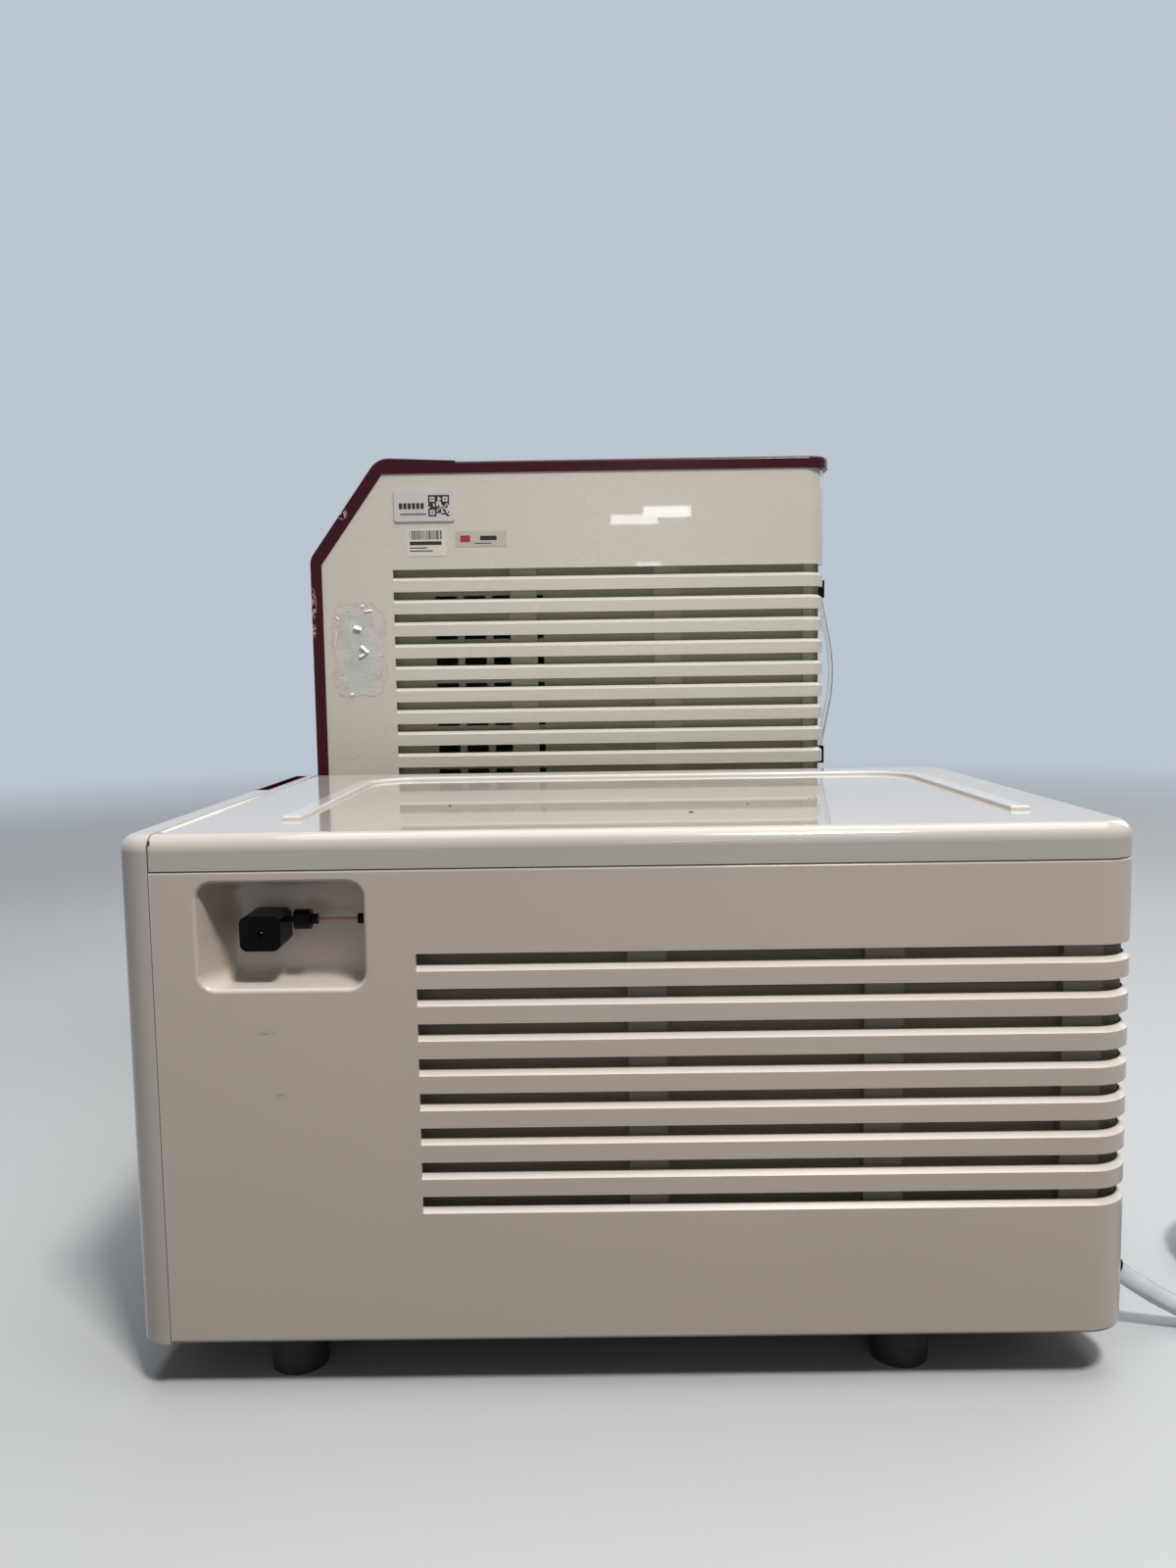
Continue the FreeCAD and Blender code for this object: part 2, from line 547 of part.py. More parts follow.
def collector_chassis():
    """The folded sheet-metal chassis: a floor, two ribbed inner walls and the bulkhead before the electronics."""
    turn, step = "corner_back", "shell"
    floor = body("collector_floor_sheet")
    add(floor, "XY", [[
        ("left + shell", "body_front"), ("right - shell", "body_front"),
        ("right - shell", f"back - {turn} - 2 * {step}"), (f"right - {turn} - 2 * {step}", "rear_face - shell"),
        (f"left + {turn} + 2 * {step}", "rear_face - shell"), ("left + shell", f"back - {turn} - 2 * {step}"),
    ]], "foot_tall", "floor_top")
    wall = block("collector_wall_sheet", ("wall_in", "wall_out"), ("body_front", f"rear_face - {step} - seam"),
                 ("floor_top", "wall_top"))
    ribs = []
    for number in range(3):
        start = f"rib_first - rib_wide / 2 + {number} * rib_pitch - {number // 2} * rib_wide"
        ribs.append(block("collector_rib", ("wall_out", "wall_out + rib_thick"), (start, f"{start} + rib_wide"),
                          ("floor_top", "wall_top")))
    ribbed = join("collector_ribbed_wall", [wall] + ribs)
    notch = block("recess_notch", ("wall_in - spare", "wall_out + spare"),
                  ("recess_front - recess_wall - spare", "recess_back + recess_wall + spare"),
                  ("recess_low - recess_wall - spare", "wall_top + spare"))
    near = cut("collector_notched_wall", ribbed, [notch])
    far = mirrored("collector_far_wall", ribbed, "middle")
    bulkhead = block("collector_bulkhead", ("wall_in_left", "wall_in"), ("bulkhead", "bulkhead_back"),
                     ("floor_top", "wall_top"))
    keep(join("collector_chassis", [floor, near, far, bulkhead]))


def drawer_slides():
    span = ("slide_front", "slide_back")
    channel = join("slide_channel", [
        block("slide_web", ("wall_in - metal", "wall_in"), span, ("slide_low", "slide_high")),
        block("slide_low_lip", ("slide_in + metal", "wall_in - metal"), span, ("slide_low", "slide_low + metal")),
        block("slide_high_lip", ("slide_in + metal", "wall_in - metal"), span, ("slide_high - metal", "slide_high")),
    ])
    runner = block("slide_runner", ("slide_in", "wall_in - metal - slide_fit"), span,
                   ("slide_low + metal + slide_fit", "slide_high - metal - slide_fit"))
    keep(several("slide_channels", [channel, mirrored("slide_channel_left", channel, "middle")]))
    keep(several("slide_runners", [runner, mirrored("slide_runner_left", runner, "middle")]))


def drawer():
    front = body("drawer_front_form")
    add(front, "XY", [rectangle("left", "right", "front", "front_inner")], "foot_tall", "collector_tall")
    round_off(front, "corner_front", pick(front, "z", y="front"))
    top = set(pick(front, None, z="collector_tall")) - set(pick(front, "x", z="collector_tall", y="front_inner"))
    round_off(front, "top_round", sorted(top))
    bosses = [(side, level, "boss_radius") for side in ("left + boss_inset", "right - boss_inset")
              for level in ("boss_low", "boss_high")]
    take(front, "XZ", [rectangle("left + front_margin", "right - front_margin", "foot_tall + front_margin",
                                 "collector_tall - front_margin")] + bosses, "front + shell", "front_inner")
    grip_place = (("grip_left", "grip_right"), ("grip_front", "grip_back"))
    grip = cut("drawer_grip", block("grip_form", *grip_place, ("collector_tall - grip_deep", "collector_tall")), [
        block("grip_scoop", ("grip_left + grip_wall", "grip_right - grip_wall"),
              ("grip_front + grip_wall", "grip_back - grip_wall"),
              ("collector_tall - grip_deep + grip_wall", "collector_tall + spare"))])
    keep(cut("drawer_front", front, [block("grip_room", *grip_place, ("collector_tall - grip_deep",
                                                                    "collector_tall + spare"))]))
    keep(grip)
    wide = ("slide_in_left", "slide_in")
    high = "drawer_low + drawer_side_tall"
    bin_form = cut("drawer_bin", block("drawer_bin_form", wide, ("front_inner", "drawer_back"), ("drawer_low", high)), [
        block("drawer_bin_room", ("slide_in_left + metal", "slide_in - metal"),
              ("front_inner + metal", "drawer_back - metal"), ("drawer_low + metal", f"{high} + spare"))])
    flange = block("drawer_flange", wide, ("front_inner", "front_inner + metal"), ("drawer_low", "drawer_flange"))
    keep(join("drawer_frame", [bin_form, flange]))
    tray_top = "drawer_low + metal + tray_tall"
    keep(cut("cassette_tray", block("tray_form", ("tray_side_left", "tray_side"), ("tray_near", "tray_far"),
                                    ("drawer_low + metal", tray_top)), [
        block("tray_room", ("tray_side_left + tray_wall", "tray_side - tray_wall"),
              ("tray_near + tray_wall", "tray_far - tray_wall"), ("tray_floor_top", f"{tray_top} + spare"))]))


def cassette(name, holes):
    """A box open at both ends, with the given holes in its deck."""
    rack = body(name)
    half_x, half_y = "cassette_wide / 2", "cassette_deep / 2"
    top = "tray_floor_top + cassette_tall"
    add(rack, "XY", [rectangle(f"-{half_x}", half_x, f"-{half_y}", half_y)], "tray_floor_top", top)
    take(rack, "XZ", [rectangle(f"-{half_x} + cassette_wall", f"{half_x} - cassette_wall", "cassette_floor",
                                f"{top} - cassette_wall")], f"-{half_y} - spare", f"{half_y} + spare")
    take(rack, "XY", holes, f"{top} - cassette_wall - spare", f"{top} + spare")
    return rack


def cassettes():
    """Six cassettes in the tray: one holds vials, and the others are empty seats for deep-well plates."""
    vial_spots = [(f"{column} * vial_pitch", f"{row} * vial_pitch * 1.2")
                  for column in (-1, 0, 1) for row in (-0.5, 0.5)]
    rack = cassette("vial_rack_form", [(x, y, "vial_radius + slide_fit") for x, y in vial_spots])
    holder = cassette("plate_rack_form", [rectangle("-plate_wide / 2 - slide_fit", "plate_wide / 2 + slide_fit",
                                                    "-plate_deep / 2 - slide_fit", "plate_deep / 2 + slide_fit")])
    vial = body("vial_form")
    foot, shoulder, mouth = "cassette_floor", "cassette_floor + vial_cone", "cassette_floor + vial_long"
    outline = draw(vial, "XZ", "0", [[
        ("0", foot), ("vial_tip", foot), ("vial_radius", shoulder), ("vial_radius", mouth),
        ("vial_radius - vial_wall", mouth), ("vial_radius - vial_wall", f"{shoulder} + vial_wall"),
        ("vial_tip", f"{foot} + 2 * vial_wall"), ("0", f"{foot} + 2 * vial_wall")]])
    turned = vial.newObject("PartDesign::Revolution", "vial_turned")
    turned.Profile = outline
    turned.ReferenceAxis = (outline, ["V_Axis"])
    settle(vial, turned, True)
    spots = [(at(f"middle + {side} * cassette_pitch_x / 2"), at(f"cassette_middle + {step} * cassette_pitch_y"), 0)
             for step in (-1, 0, 1) for side in (-1, 1)]
    vials = [(x + at(u), y + at(v), 0) for x, y, _ in spots[:1] for u, v in vial_spots]
    racks = [copies("vial_racks", rack, spots[:1]), copies("plate_racks", holder, spots[1:])]
    keep(several("cassettes", racks), copies("sample_vials", vial, vials))


# Dispenser gantry

def gantry():
    """Two rails carry a beam along Y, and the dispenser slides along the beam."""
    rails = [rod("gantry_rail", "y", ("crossbar_back", "bulkhead"), (side, "rail_level"), "rail_radius")
             for side in ("rail_left", "rail_right")]
    keep(several("gantry_rails", rails))
    keep(block("gantry_crossbar", ("wall_in_left", "wall_in"), ("crossbar_front", "crossbar_back"),
               ("crossbar_low", "crossbar_high")))
    bores = [rod("beam_bore", "y", ("beam_front - spare", "beam_back + spare"), (side, "rail_level"),
                 "rail_radius + run_fit") for side in ("rail_left", "rail_right")]
    beam = block("beam_form", ("beam_left", "beam_right"), ("beam_front", "beam_back"),
                 ("beam_low", "beam_high"))
    keep(cut("gantry_beam", beam, bores))
    span = ("dispenser_middle - dispenser_wide / 2", "dispenser_middle + dispenser_wide / 2")
    near, far = "beam_front - slide_fit", "beam_back + slide_fit"
    low, high = "beam_low - slide_fit", "beam_high + slide_fit"
    collar = cut("dispenser_collar", block(
        "collar_form", span, (f"{near} - dispenser_wall", f"{far} + dispenser_wall"),
        (f"{low} - dispenser_wall", f"{high} + dispenser_wall / 2")), [block("collar_room", span, (near, far),
                                                                           (low, high))])
    arm = block("dispenser_arm", ("dispenser_middle - arm_half", "dispenser_middle + arm_half"),
                ("beam_middle - arm_half", "beam_middle + arm_half"), ("arm_low", f"{low} - dispenser_wall"))
    nozzle = rod("dispenser_nozzle", "z", ("nozzle_low", "arm_low"), ("dispenser_middle", "beam_middle"),
                 "nozzle_radius")
    keep(join("dispenser_head", [collar, arm, nozzle]))
    belt_span = ("belt_left", "belt_left + belt_wide")
    upper, lower = "rail_level + belt_spread", "rail_level - belt_spread - belt_thick"
    strands = [block("belt_strand", belt_span, ("crossbar_back", "pulley_front"), (level, f"{level} + belt_thick"))
               for level in (upper, lower)]
    housing = block("pulley_housing", ("belt_left - spare", "belt_left + belt_wide + spare"),
                    ("pulley_front", "bulkhead"), (f"{lower} - spare", f"{upper} + belt_thick + spare"))
    motor = block("gantry_motor_form", ("belt_left + belt_wide / 2 - motor_wide / 2",
                                        "belt_left + belt_wide / 2 + motor_wide / 2"),
                  ("bulkhead_back", "bulkhead_back + motor_deep"),
                  ("rail_level - motor_wide / 2", "rail_level + motor_wide / 2"))
    keep(several("gantry_belt", strands), several("gantry_drive", [housing, motor]))


# Pieces that both units have: rear walls, fans, power entries and feet

def rear_panel(name, span, outer, heights, fan, entry):
    """A flat rear wall with air slots over the fan and a cut-out for the power entry."""
    panel = body(name)
    inner = f"{outer} - shell"
    add(panel, "XZ", [rectangle(*span, *heights)], inner, outer)
    fan_x, fan_z, size = fan
    slots = take(panel, "XZ", [rectangle(f"{fan_x} - {size} * 0.4", f"{fan_x} + {size} * 0.4",
                                         f"{fan_z} - {size} * 0.4", f"{fan_z} - {size} * 0.34")], inner, outer)
    repeat(panel, slots, "Z_Axis", f"{size} * 0.106", "8")
    entry_x, entry_z = entry
    take(panel, "XZ", [rectangle(f"{entry_x} - entry_wide / 2", f"{entry_x} + entry_wide / 2",
                                 f"{entry_z} - entry_tall / 2", f"{entry_z} + entry_tall / 2")], inner, outer)
    return panel


def fan(prefix, x, z, back, size):
    """A square axial fan behind the rear wall: a frame with an axle on struts, and its rotor."""
    half, front = f"{size} / 2", f"{back} - fan_deep"
    frame = cut(prefix + "_fan_ring", block(
        prefix + "_fan_form", (f"{x} - {half}", f"{x} + {half}"), (front, back), (f"{z} - {half}", f"{z} + {half}")),
        [rod(prefix + "_fan_bore", "y", (f"{front} - spare", f"{back} + spare"), (x, z), f"{half} - fan_wall")])
    struts = [
        block(prefix + "_fan_strut", (f"{x} - {half} + fan_wall / 2", f"{x} + {half} - fan_wall / 2"),
              (f"{back} - fan_strut", back), (f"{z} - fan_strut", f"{z} + fan_strut")),
        block(prefix + "_fan_strut", (f"{x} - fan_strut", f"{x} + fan_strut"), (f"{back} - fan_strut", back),
              (f"{z} - {half} + fan_wall / 2", f"{z} + {half} - fan_wall / 2")),
        rod(prefix + "_fan_axle", "y", (f"{front} + fan_strut", back), (x, z), "fan_axle"),
    ]
    keep(join(prefix + "_fan_frame", [frame] + struts))
    keep(fan_rotor(prefix + "_fan_rotor", x, z, back, size))


def fan_rotor(name, x, z, back, size):
    """A hub bored for the axle, with tilted blades around it."""
    deep = at("fan_deep - 3 * fan_strut")
    hub = at(f"{size} * 0.19")
    tip = at(f"{size} / 2 - fan_wall - fan_tip_gap")
    chord = deep - 2 * at("blade_thick")
    blade_thick = at("blade_thick")
    along = FreeCAD.Vector(0, 1, 0)
    start = FreeCAD.Vector(at(x), at(f"{back} - fan_deep") + at("fan_strut") * 1.5, at(z))
    shape = Part.makeCylinder(hub, deep, start, along)
    centre = start + along * (deep / 2)
    for number in range(int(at("blade_count"))):
        blade = Part.makeBox(tip - hub + blade_thick, chord, blade_thick,
                             centre + FreeCAD.Vector(hub - blade_thick, -chord / 2, -blade_thick / 2))
        blade.rotate(centre, FreeCAD.Vector(1, 0, 0), at("blade_tilt"))
        blade.rotate(centre, along, 360 / at("blade_count") * number)
        shape = shape.fuse(blade)
    shape = shape.cut(Part.makeCylinder(at("fan_axle + run_fit"), 2 * deep, start - along * deep / 2, along))
    rotor = doc.addObject("Part::Feature", name)
    rotor.Shape = shape.removeSplitter()
    return rotor


def power_entry(prefix, x, z, outer):
    """The mains inlet with its three pins, and above it the rocker switch on a round pin."""
    half_x, half_z = "entry_wide / 2", "entry_tall / 2"
    face = f"{outer} + entry_lip"
    housing = join(prefix + "_entry_form", [
        block(prefix + "_entry_box", (f"{x} - {half_x}", f"{x} + {half_x}"), (f"{outer} - entry_deep", face),
              (f"{z} - {half_z}", f"{z} + {half_z}")),
        block(prefix + "_entry_flange", (f"{x} - {half_x} - lip_wide", f"{x} + {half_x} + lip_wide"),
              (outer, face), (f"{z} - {half_z} - lip_wide", f"{z} + {half_z} + lip_wide"))])
    socket_z, pivot_z, pivot_y = f"{z} - socket_drop", f"{z} + rocker_lift", f"{outer} - rocker_pivot"
    half_room = "(rocker_tall / 2 + rocker_room)"
    hollows = [
        block(prefix + "_socket", (f"{x} - socket_wide / 2", f"{x} + socket_wide / 2"),
              (f"{face} - socket_deep", f"{face} + spare"),
              (f"{socket_z} - socket_tall / 2", f"{socket_z} + socket_tall / 2")),
        block(prefix + "_rocker_room", (f"{x} - rocker_wide / 2 - slide_fit", f"{x} + rocker_wide / 2 + slide_fit"),
              (f"{outer} - socket_deep", f"{face} + spare"), (f"{pivot_z} - {half_room}", f"{pivot_z} + {half_room}")),
    ]
    pins = [block(prefix + "_pin", (f"{x} + {side} * pin_spread - pin_thick / 2",
                                    f"{x} + {side} * pin_spread + pin_thick / 2"),
                  (f"{face} - socket_deep", f"{face} - socket_deep + pin_long"),
                  (f"{socket_z} + {lift} - pin_wide / 2", f"{socket_z} + {lift} + pin_wide / 2"))
            for side, lift in ((-1, -3), (0, 3), (1, -3))]
    axle = rod(prefix + "_rocker_axle", "x", (f"{x} - {half_x} + spare", f"{x} + {half_x} - spare"),
               (pivot_y, pivot_z), "rocker_pin")
    keep(join(prefix + "_power_entry", [cut(prefix + "_entry_shell", housing, hollows)] + pins + [axle]))
    half_tall, low = "rocker_tall / 2", f"{outer} - 2 * rocker_pivot"
    rocker = body(prefix + "_rocker_form")
    add(rocker, "YZ", [[
        (f"{outer} + rocker_out", f"{pivot_z} + {half_tall}"), (low, f"{pivot_z} + {half_tall} - rocker_taper"),
        (low, f"{pivot_z} - {half_tall} + rocker_taper"),
        (f"{outer} + rocker_out + rocker_throw", f"{pivot_z} - {half_tall}"), (f"{outer} + rocker_out", pivot_z),
    ]], f"{x} - rocker_wide / 2", f"{x} + rocker_wide / 2")
    bore = rod(prefix + "_rocker_bore", "x", (f"{x} - {half_x}", f"{x} + {half_x}"), (pivot_y, pivot_z),
               "rocker_pin + run_fit")
    keep(cut(prefix + "_rocker", rocker, [bore]))


def feet(name, sides, ends):
    """Four round rubber feet."""
    keep(several(name, [rod("foot", "z", ("0", "foot_tall"), (side, end), "foot_radius")
                        for side in sides for end in ends]))


# Collector housing and fittings

def collector_housing():
    collector_sides()
    keep(collector_cover())
    keep(rear_panel("collector_rear_panel", ("left + corner_back", "right - corner_back"), "rear_face",
                    ("foot_tall", "cover_low"), ("collector_fan_x", "collector_fan_z", "small_fan"),
                    ("collector_entry_x", "collector_entry_z")))
    fan("collector", "collector_fan_x", "collector_fan_z", "rear_face - shell", "small_fan")
    power_entry("collector", "collector_entry_x", "collector_entry_z", "rear_face")
    feet("collector_feet", ("left + foot_inset", "right - foot_inset"),
         ("collector_foot_front", "collector_foot_back"))
    supply_half = "supply_wide / 2"
    keep(block("collector_supply", (f"supply_x - {supply_half}", f"supply_x + {supply_half}"),
               ("bulkhead_back", "bulkhead_back + supply_deep"), ("floor_top", "floor_top + supply_tall")))
    keep(circuit_board("collector_board", "board_x", "bulkhead_back"))


def circuit_board(name, x, wall):
    """A board on four standoffs, with two chips and a connector."""
    low_x, high_x = f"{x} - board_wide / 2", f"{x} + board_wide / 2"
    low_z, high_z = "board_z - board_tall / 2", "board_z + board_tall / 2"
    face = f"{wall} + standoff_long"
    parts = [block(name + "_sheet", (low_x, high_x), (face, f"{face} + board_thick"), (low_z, high_z))]
    for side in (f"{low_x} + 2 * standoff_radius", f"{high_x} - 2 * standoff_radius"):
        for level in (f"{low_z} + 2 * standoff_radius", f"{high_z} - 2 * standoff_radius"):
            parts.append(rod(name + "_standoff", "y", (wall, face), (side, level), "standoff_radius"))
    for lift in (-1, 1):
        middle = f"board_z + {lift} * board_tall / 4"
        parts.append(block(name + "_chip", (f"{x} - chip_size / 2", f"{x} + chip_size / 2"),
                           (f"{face} + board_thick", f"{face} + board_thick + chip_tall"),
                           (f"{middle} - chip_size / 2", f"{middle} + chip_size / 2")))
    return join(name, parts)


def inlet_fittings():
    """The black inlet block in the recess, its ribbed fitting, and the short line to the recess's rear wall."""
    form = body("inlet_block_form")
    low_y, high_y = "block_middle - block_wide / 2", "block_end"
    low_z, high_z = "block_level - block_tall / 2", "block_level + block_tall / 2"
    add(form, "YZ", [rectangle(low_y, high_y, low_z, high_z)], "recess_bottom", "right - block_back")
    round_off(form, "block_round", pick(form, "x"))
    hole = rod("inlet_hole", "x", ("right - block_back - block_hole_deep", "right"),
               ("block_middle", "block_level"), "block_hole")
    keep(cut("inlet_block", form, [hole]))
    centre = ("line_x", "line_level")
    neck_end = "block_end + neck_long"
    nut_end = f"{neck_end} + nut_long"
    collar_end = f"{nut_end} + collar_long"
    far_nut = "recess_back - wall_nut_long"
    fitting = join("fitting", [
        rod("fitting_neck", "y", ("block_end", neck_end), centre, "neck_radius"),
        rod("fitting_nut", "y", (neck_end, nut_end), centre, "nut_radius"),
        rod("fitting_collar", "y", (nut_end, collar_end), centre, "collar_radius"),
    ])
    wall_nut = rod("inlet_wall_nut", "y", (far_nut, "recess_back"), centre, "wall_nut_radius")
    keep(several("inlet_fittings", [fitting, wall_nut]))
    keep(rod("inlet_line", "y", (collar_end, far_nut), centre, "tube_radius"))


# Separation unit

def main_sides():
    wall = louvred_side("main_side_right", "panel_right", "frame_back", "main_back", "foot_tall", "tray_low",
                        "main_corner", "main_slot_start", "main_slot_low", "main_slots")
    take(wall, "YZ", [[
        ("frame_back - spare", "inner_chamfer_low"), ("frame_back", "inner_chamfer_low"),
        ("inner_chamfer_back", "tray_low"), ("inner_chamfer_back", "tray_low + spare"),
        ("frame_back - spare", "tray_low + spare"),
    ]], "panel_in - spare", "panel_right + spare")
    round_off(wall, "inner_corner", pick(wall, "x", y="frame_back", z="inner_chamfer_low"))
    keep(wall, mirrored("main_side_left", wall, "main_middle"))


def slope_place(run, rise):
    """The places along Y and Z of a point on the front chamfer, run mm up it and rise mm out of it."""
    lean = "chamfer_angle * 1deg"
    return (f"main_front + ({run}) * cos({lean}) - ({rise}) * sin({lean})",
            f"chamfer_low + ({run}) * sin({lean}) + ({rise}) * cos({lean})")


def on_slope(solid, x, run, rise):
    """Turns a primitive's Z to the chamfer's normal, and puts its corner or centre at a point of the chamfer."""
    solid.Placement = FreeCAD.Placement(FreeCAD.Vector(), FreeCAD.Rotation(FreeCAD.Vector(1, 0, 0), 45))
    bind(solid, "Placement.Rotation.Angle", "chamfer_angle")
    y, z = slope_place(run, rise)
    for axis, place in zip("xyz", (x, y, z)):
        bind(solid, "Placement.Base." + axis, place)
    return solid


def slab(name):
    solid = doc.addObject("Part::Box", name)
    bind(solid, "Length", "console_wide")
    bind(solid, "Width", "console_tall")
    bind(solid, "Height", "console_deep")
    return on_slope(solid, "main_middle - console_wide / 2", "console_start", "-console_deep")


def disc(name, x, radius, low, high):
    """A round piece across the console, from a depth below its face to a height above it."""
    solid = doc.addObject("Part::Cylinder", name)
    bind(solid, "Radius", radius)
    bind(solid, "Height", f"({high}) - ({low})")
    return on_slope(solid, x, "console_start + console_tall / 2", low)


def main_front_and_console():
    """The dark front frame with its chamfer, and the console with two push buttons let into the chamfer."""
    form = body("front_frame_form")
    add(form, "YZ", [[
        ("main_front", "foot_tall"), ("main_front", "chamfer_low"), ("chamfer_back", "main_tall"),
        ("hood_front", "hood_front_tall"), ("hood_front", "tray_low"), ("inner_chamfer_back", "tray_low"),
        ("frame_back", "inner_chamfer_low"), ("frame_back", "foot_tall"),
    ]], "main_left", "main_right")
    round_off(form, "band_corner", pick(form, "x", y="main_front", z="chamfer_low"))
    round_off(form, "hood_corner", pick(form, "x", y="chamfer_back", z="main_tall"))
    round_off(form, "inner_corner", pick(form, "x", y="frame_back", z="inner_chamfer_low"))
    take(form, "XZ", [rectangle("main_left + post_wide", "main_right - post_wide", "foot_tall + sill_tall",
                                "module_top")], "main_front - spare", "frame_back + spare")
    keep(cut("main_front_frame", form, [slab("console_room")]))
    sides = [("pause_button", "main_middle - button_spread"), ("continue_button", "main_middle + button_spread")]
    wells = [disc(name + "_well", x, "button_radius + button_fit", "-console_deep", "spare") for name, x in sides]
    keep(cut("console", slab("console_form"), wells))
    for name, x in sides:
        keep(disc(name, x, "button_radius", "-button_deep", "button_out"))


def main_top():
    hood = body("main_hood")
    add(hood, "YZ", [[
        ("hood_front", "hood_front_tall"), ("tray_front", "hood_back"), ("tray_front", "tray_low"),
        ("hood_front", "tray_low"),
    ]], "main_left", "main_right")
    ridges = []
    for number in range(int(at("ridge_count"))):
        near = f"ridge_first + {number} * ridge_pitch"
        surface = f"main_tall - ({near} - chamfer_back) * hood_slope"
        ridges.append(rectangle(near, f"{near} + ridge_wide", f"{surface} - spare", f"{surface} + ridge_tall"))
    add(hood, "YZ", ridges, "main_middle - ridge_long / 2", "main_middle + ridge_long / 2")
    tray = body("main_top_tray")
    tray_back = "main_back + tray_over"
    add(tray, "XY", [rectangle("main_left", "main_right", "tray_front", tray_back)], "tray_low", "tray_high")
    round_off(tray, "main_corner", pick(tray, "z", y=tray_back))
    edges = set(pick(tray, None, z="tray_high")) - set(pick(tray, "x", z="tray_high", y="tray_front"))
    round_off(tray, "tray_round", sorted(edges))
    take(tray, "XY", [rectangle("main_left + tray_rim", "main_right - tray_rim", "tray_front + tray_rim",
                                f"{tray_back} - tray_rim")], "tray_low + tray_floor", "tray_high + spare")
    keep(hood, tray)


def main_chassis():
    floor = body("main_floor_sheet")
    turn = "main_corner + shell"
    add(floor, "XY", [[
        ("panel_left_in", "frame_back"), ("panel_in", "frame_back"), ("panel_in", f"main_inner_rear - {turn}"),
        (f"panel_in - {turn}", "main_inner_rear"), (f"panel_left_in + {turn}", "main_inner_rear"),
        ("panel_left_in", f"main_inner_rear - {turn}"),
    ]], "foot_tall", "floor_top")
    spine = block("main_spine", ("main_middle - metal / 2", "main_middle + metal / 2"),
                  ("module_back", "main_inner_rear"), ("floor_top", "tray_low"))
    keep(join("main_chassis", [floor, spine]))
    keep(join("main_module_panel", [
        block("module_wall", ("panel_left_in", "panel_in"), ("module_face", "module_back"),
              ("floor_top", "module_top + shell")),
        block("module_ceiling", ("panel_left_in", "panel_in"), ("frame_back", "module_face"),
              ("module_top", "module_top + shell"))]))
    shield = body("vent_shield_form")
    outer = "panel_in - shield_gap"
    add(shield, "YZ", [rectangle("shield_front", "shield_back", "floor_top", "shield_high")],
        f"{outer} - metal", outer)
    vents = take(shield, "YZ", [rectangle(f"vent_first + {column} * vent_pitch",
                                          f"vent_first + {column} * vent_pitch + vent_wide",
                                          "vent_low", "vent_low + vent_tall")
                                for column in range(int(at("vent_columns")))], f"{outer} - metal", outer)
    repeat(shield, vents, "Z_Axis", "vent_rise", "vent_rows")
    ribs = [rectangle(f"shield_rib_first + {number} * shield_rib_pitch",
                      f"shield_rib_first + {number} * shield_rib_pitch + shield_rib_wide",
                      "floor_top", "shield_high") for number in range(2)]
    ribs.append(rectangle("main_back - main_corner", "main_back - main_corner + shield_end_rib",
                          "floor_top", "shield_high"))
    add(shield, "YZ", ribs, outer, f"{outer} + shield_rib_thick")
    keep(several("vent_shields", [shield, mirrored("vent_shield_left", shield, "main_middle")]))


def flow_modules():
    """Pump heads, valves, monitors and the mixer on the module panel, with their drives behind it."""
    heads, drives = [], []
    for row in range(2):
        level = f"head_z + {row} * head_pitch_z"
        for column in range(2):
            heads.append(pump_head(f"head_x + {column} * head_pitch_x", level))
        centre = "head_x + head_pitch_x / 2"
        drives.append(block("pump_drive", (f"{centre} - drive_wide / 2", f"{centre} + drive_wide / 2"),
                            ("module_back", "module_back + drive_deep"),
                            (f"{level} - drive_tall / 2", f"{level} + drive_tall / 2")))
    drives += [rod("valve_motor", "y", ("module_back", "module_back + valve_motor_long"), spot,
                   "valve_motor_radius") for spot in VALVES]
    keep(several("pump_heads", heads), several("module_drives", drives))
    keep(several("rotary_valves", [rotary_valve(x, z) for x, z in VALVES]))
    monitor = join("absorbance_monitor", [
        block("monitor_box", ("monitor_x - monitor_wide / 2", "monitor_x + monitor_wide / 2"),
              ("module_face - monitor_deep", "module_face"),
              ("monitor_z - monitor_tall / 2", "monitor_z + monitor_tall / 2")),
        rod("flow_cell", "z", ("monitor_z + monitor_tall / 2", "monitor_z + monitor_tall / 2 + cell_radius"),
            ("monitor_x", "module_face - monitor_deep / 2"), "cell_radius")])
    keep(monitor)
    keep(block("conductivity_monitor", ("cell_x - cell_wide / 2", "cell_x + cell_wide / 2"),
               ("module_face - cell_deep", "module_face"), ("cell_z - cell_tall / 2", "cell_z + cell_tall / 2")))
    keep(join("mixer", [
        rod("mixer_chamber", "z", ("mixer_low", "mixer_high"), ("mixer_x", "module_face - mixer_out"), "mixer_radius"),
        block("mixer_bracket", ("mixer_x - mixer_radius / 2", "mixer_x + mixer_radius / 2"),
              ("module_face - mixer_out", "module_face"),
              ("mixer_low + mixer_radius", "mixer_high - mixer_radius"))]))


def pump_head(x, z):
    """One steel pump head: the head, its end cap, and the check valves above and below it."""
    face = "module_face - head_long"
    middle = "module_face - head_long / 2"
    parts = [
        rod("pump_head_barrel", "y", (face, "module_face"), (x, z), "head_radius"),
        rod("pump_head_cap", "y", (f"{face} - cap_long", face), (x, z), "cap_radius"),
        rod("pump_check_valves", "z", (f"{z} - head_radius - check_long", f"{z} + head_radius + check_long"),
            (x, middle), "check_radius"),
    ]
    return join("pump_head", parts)


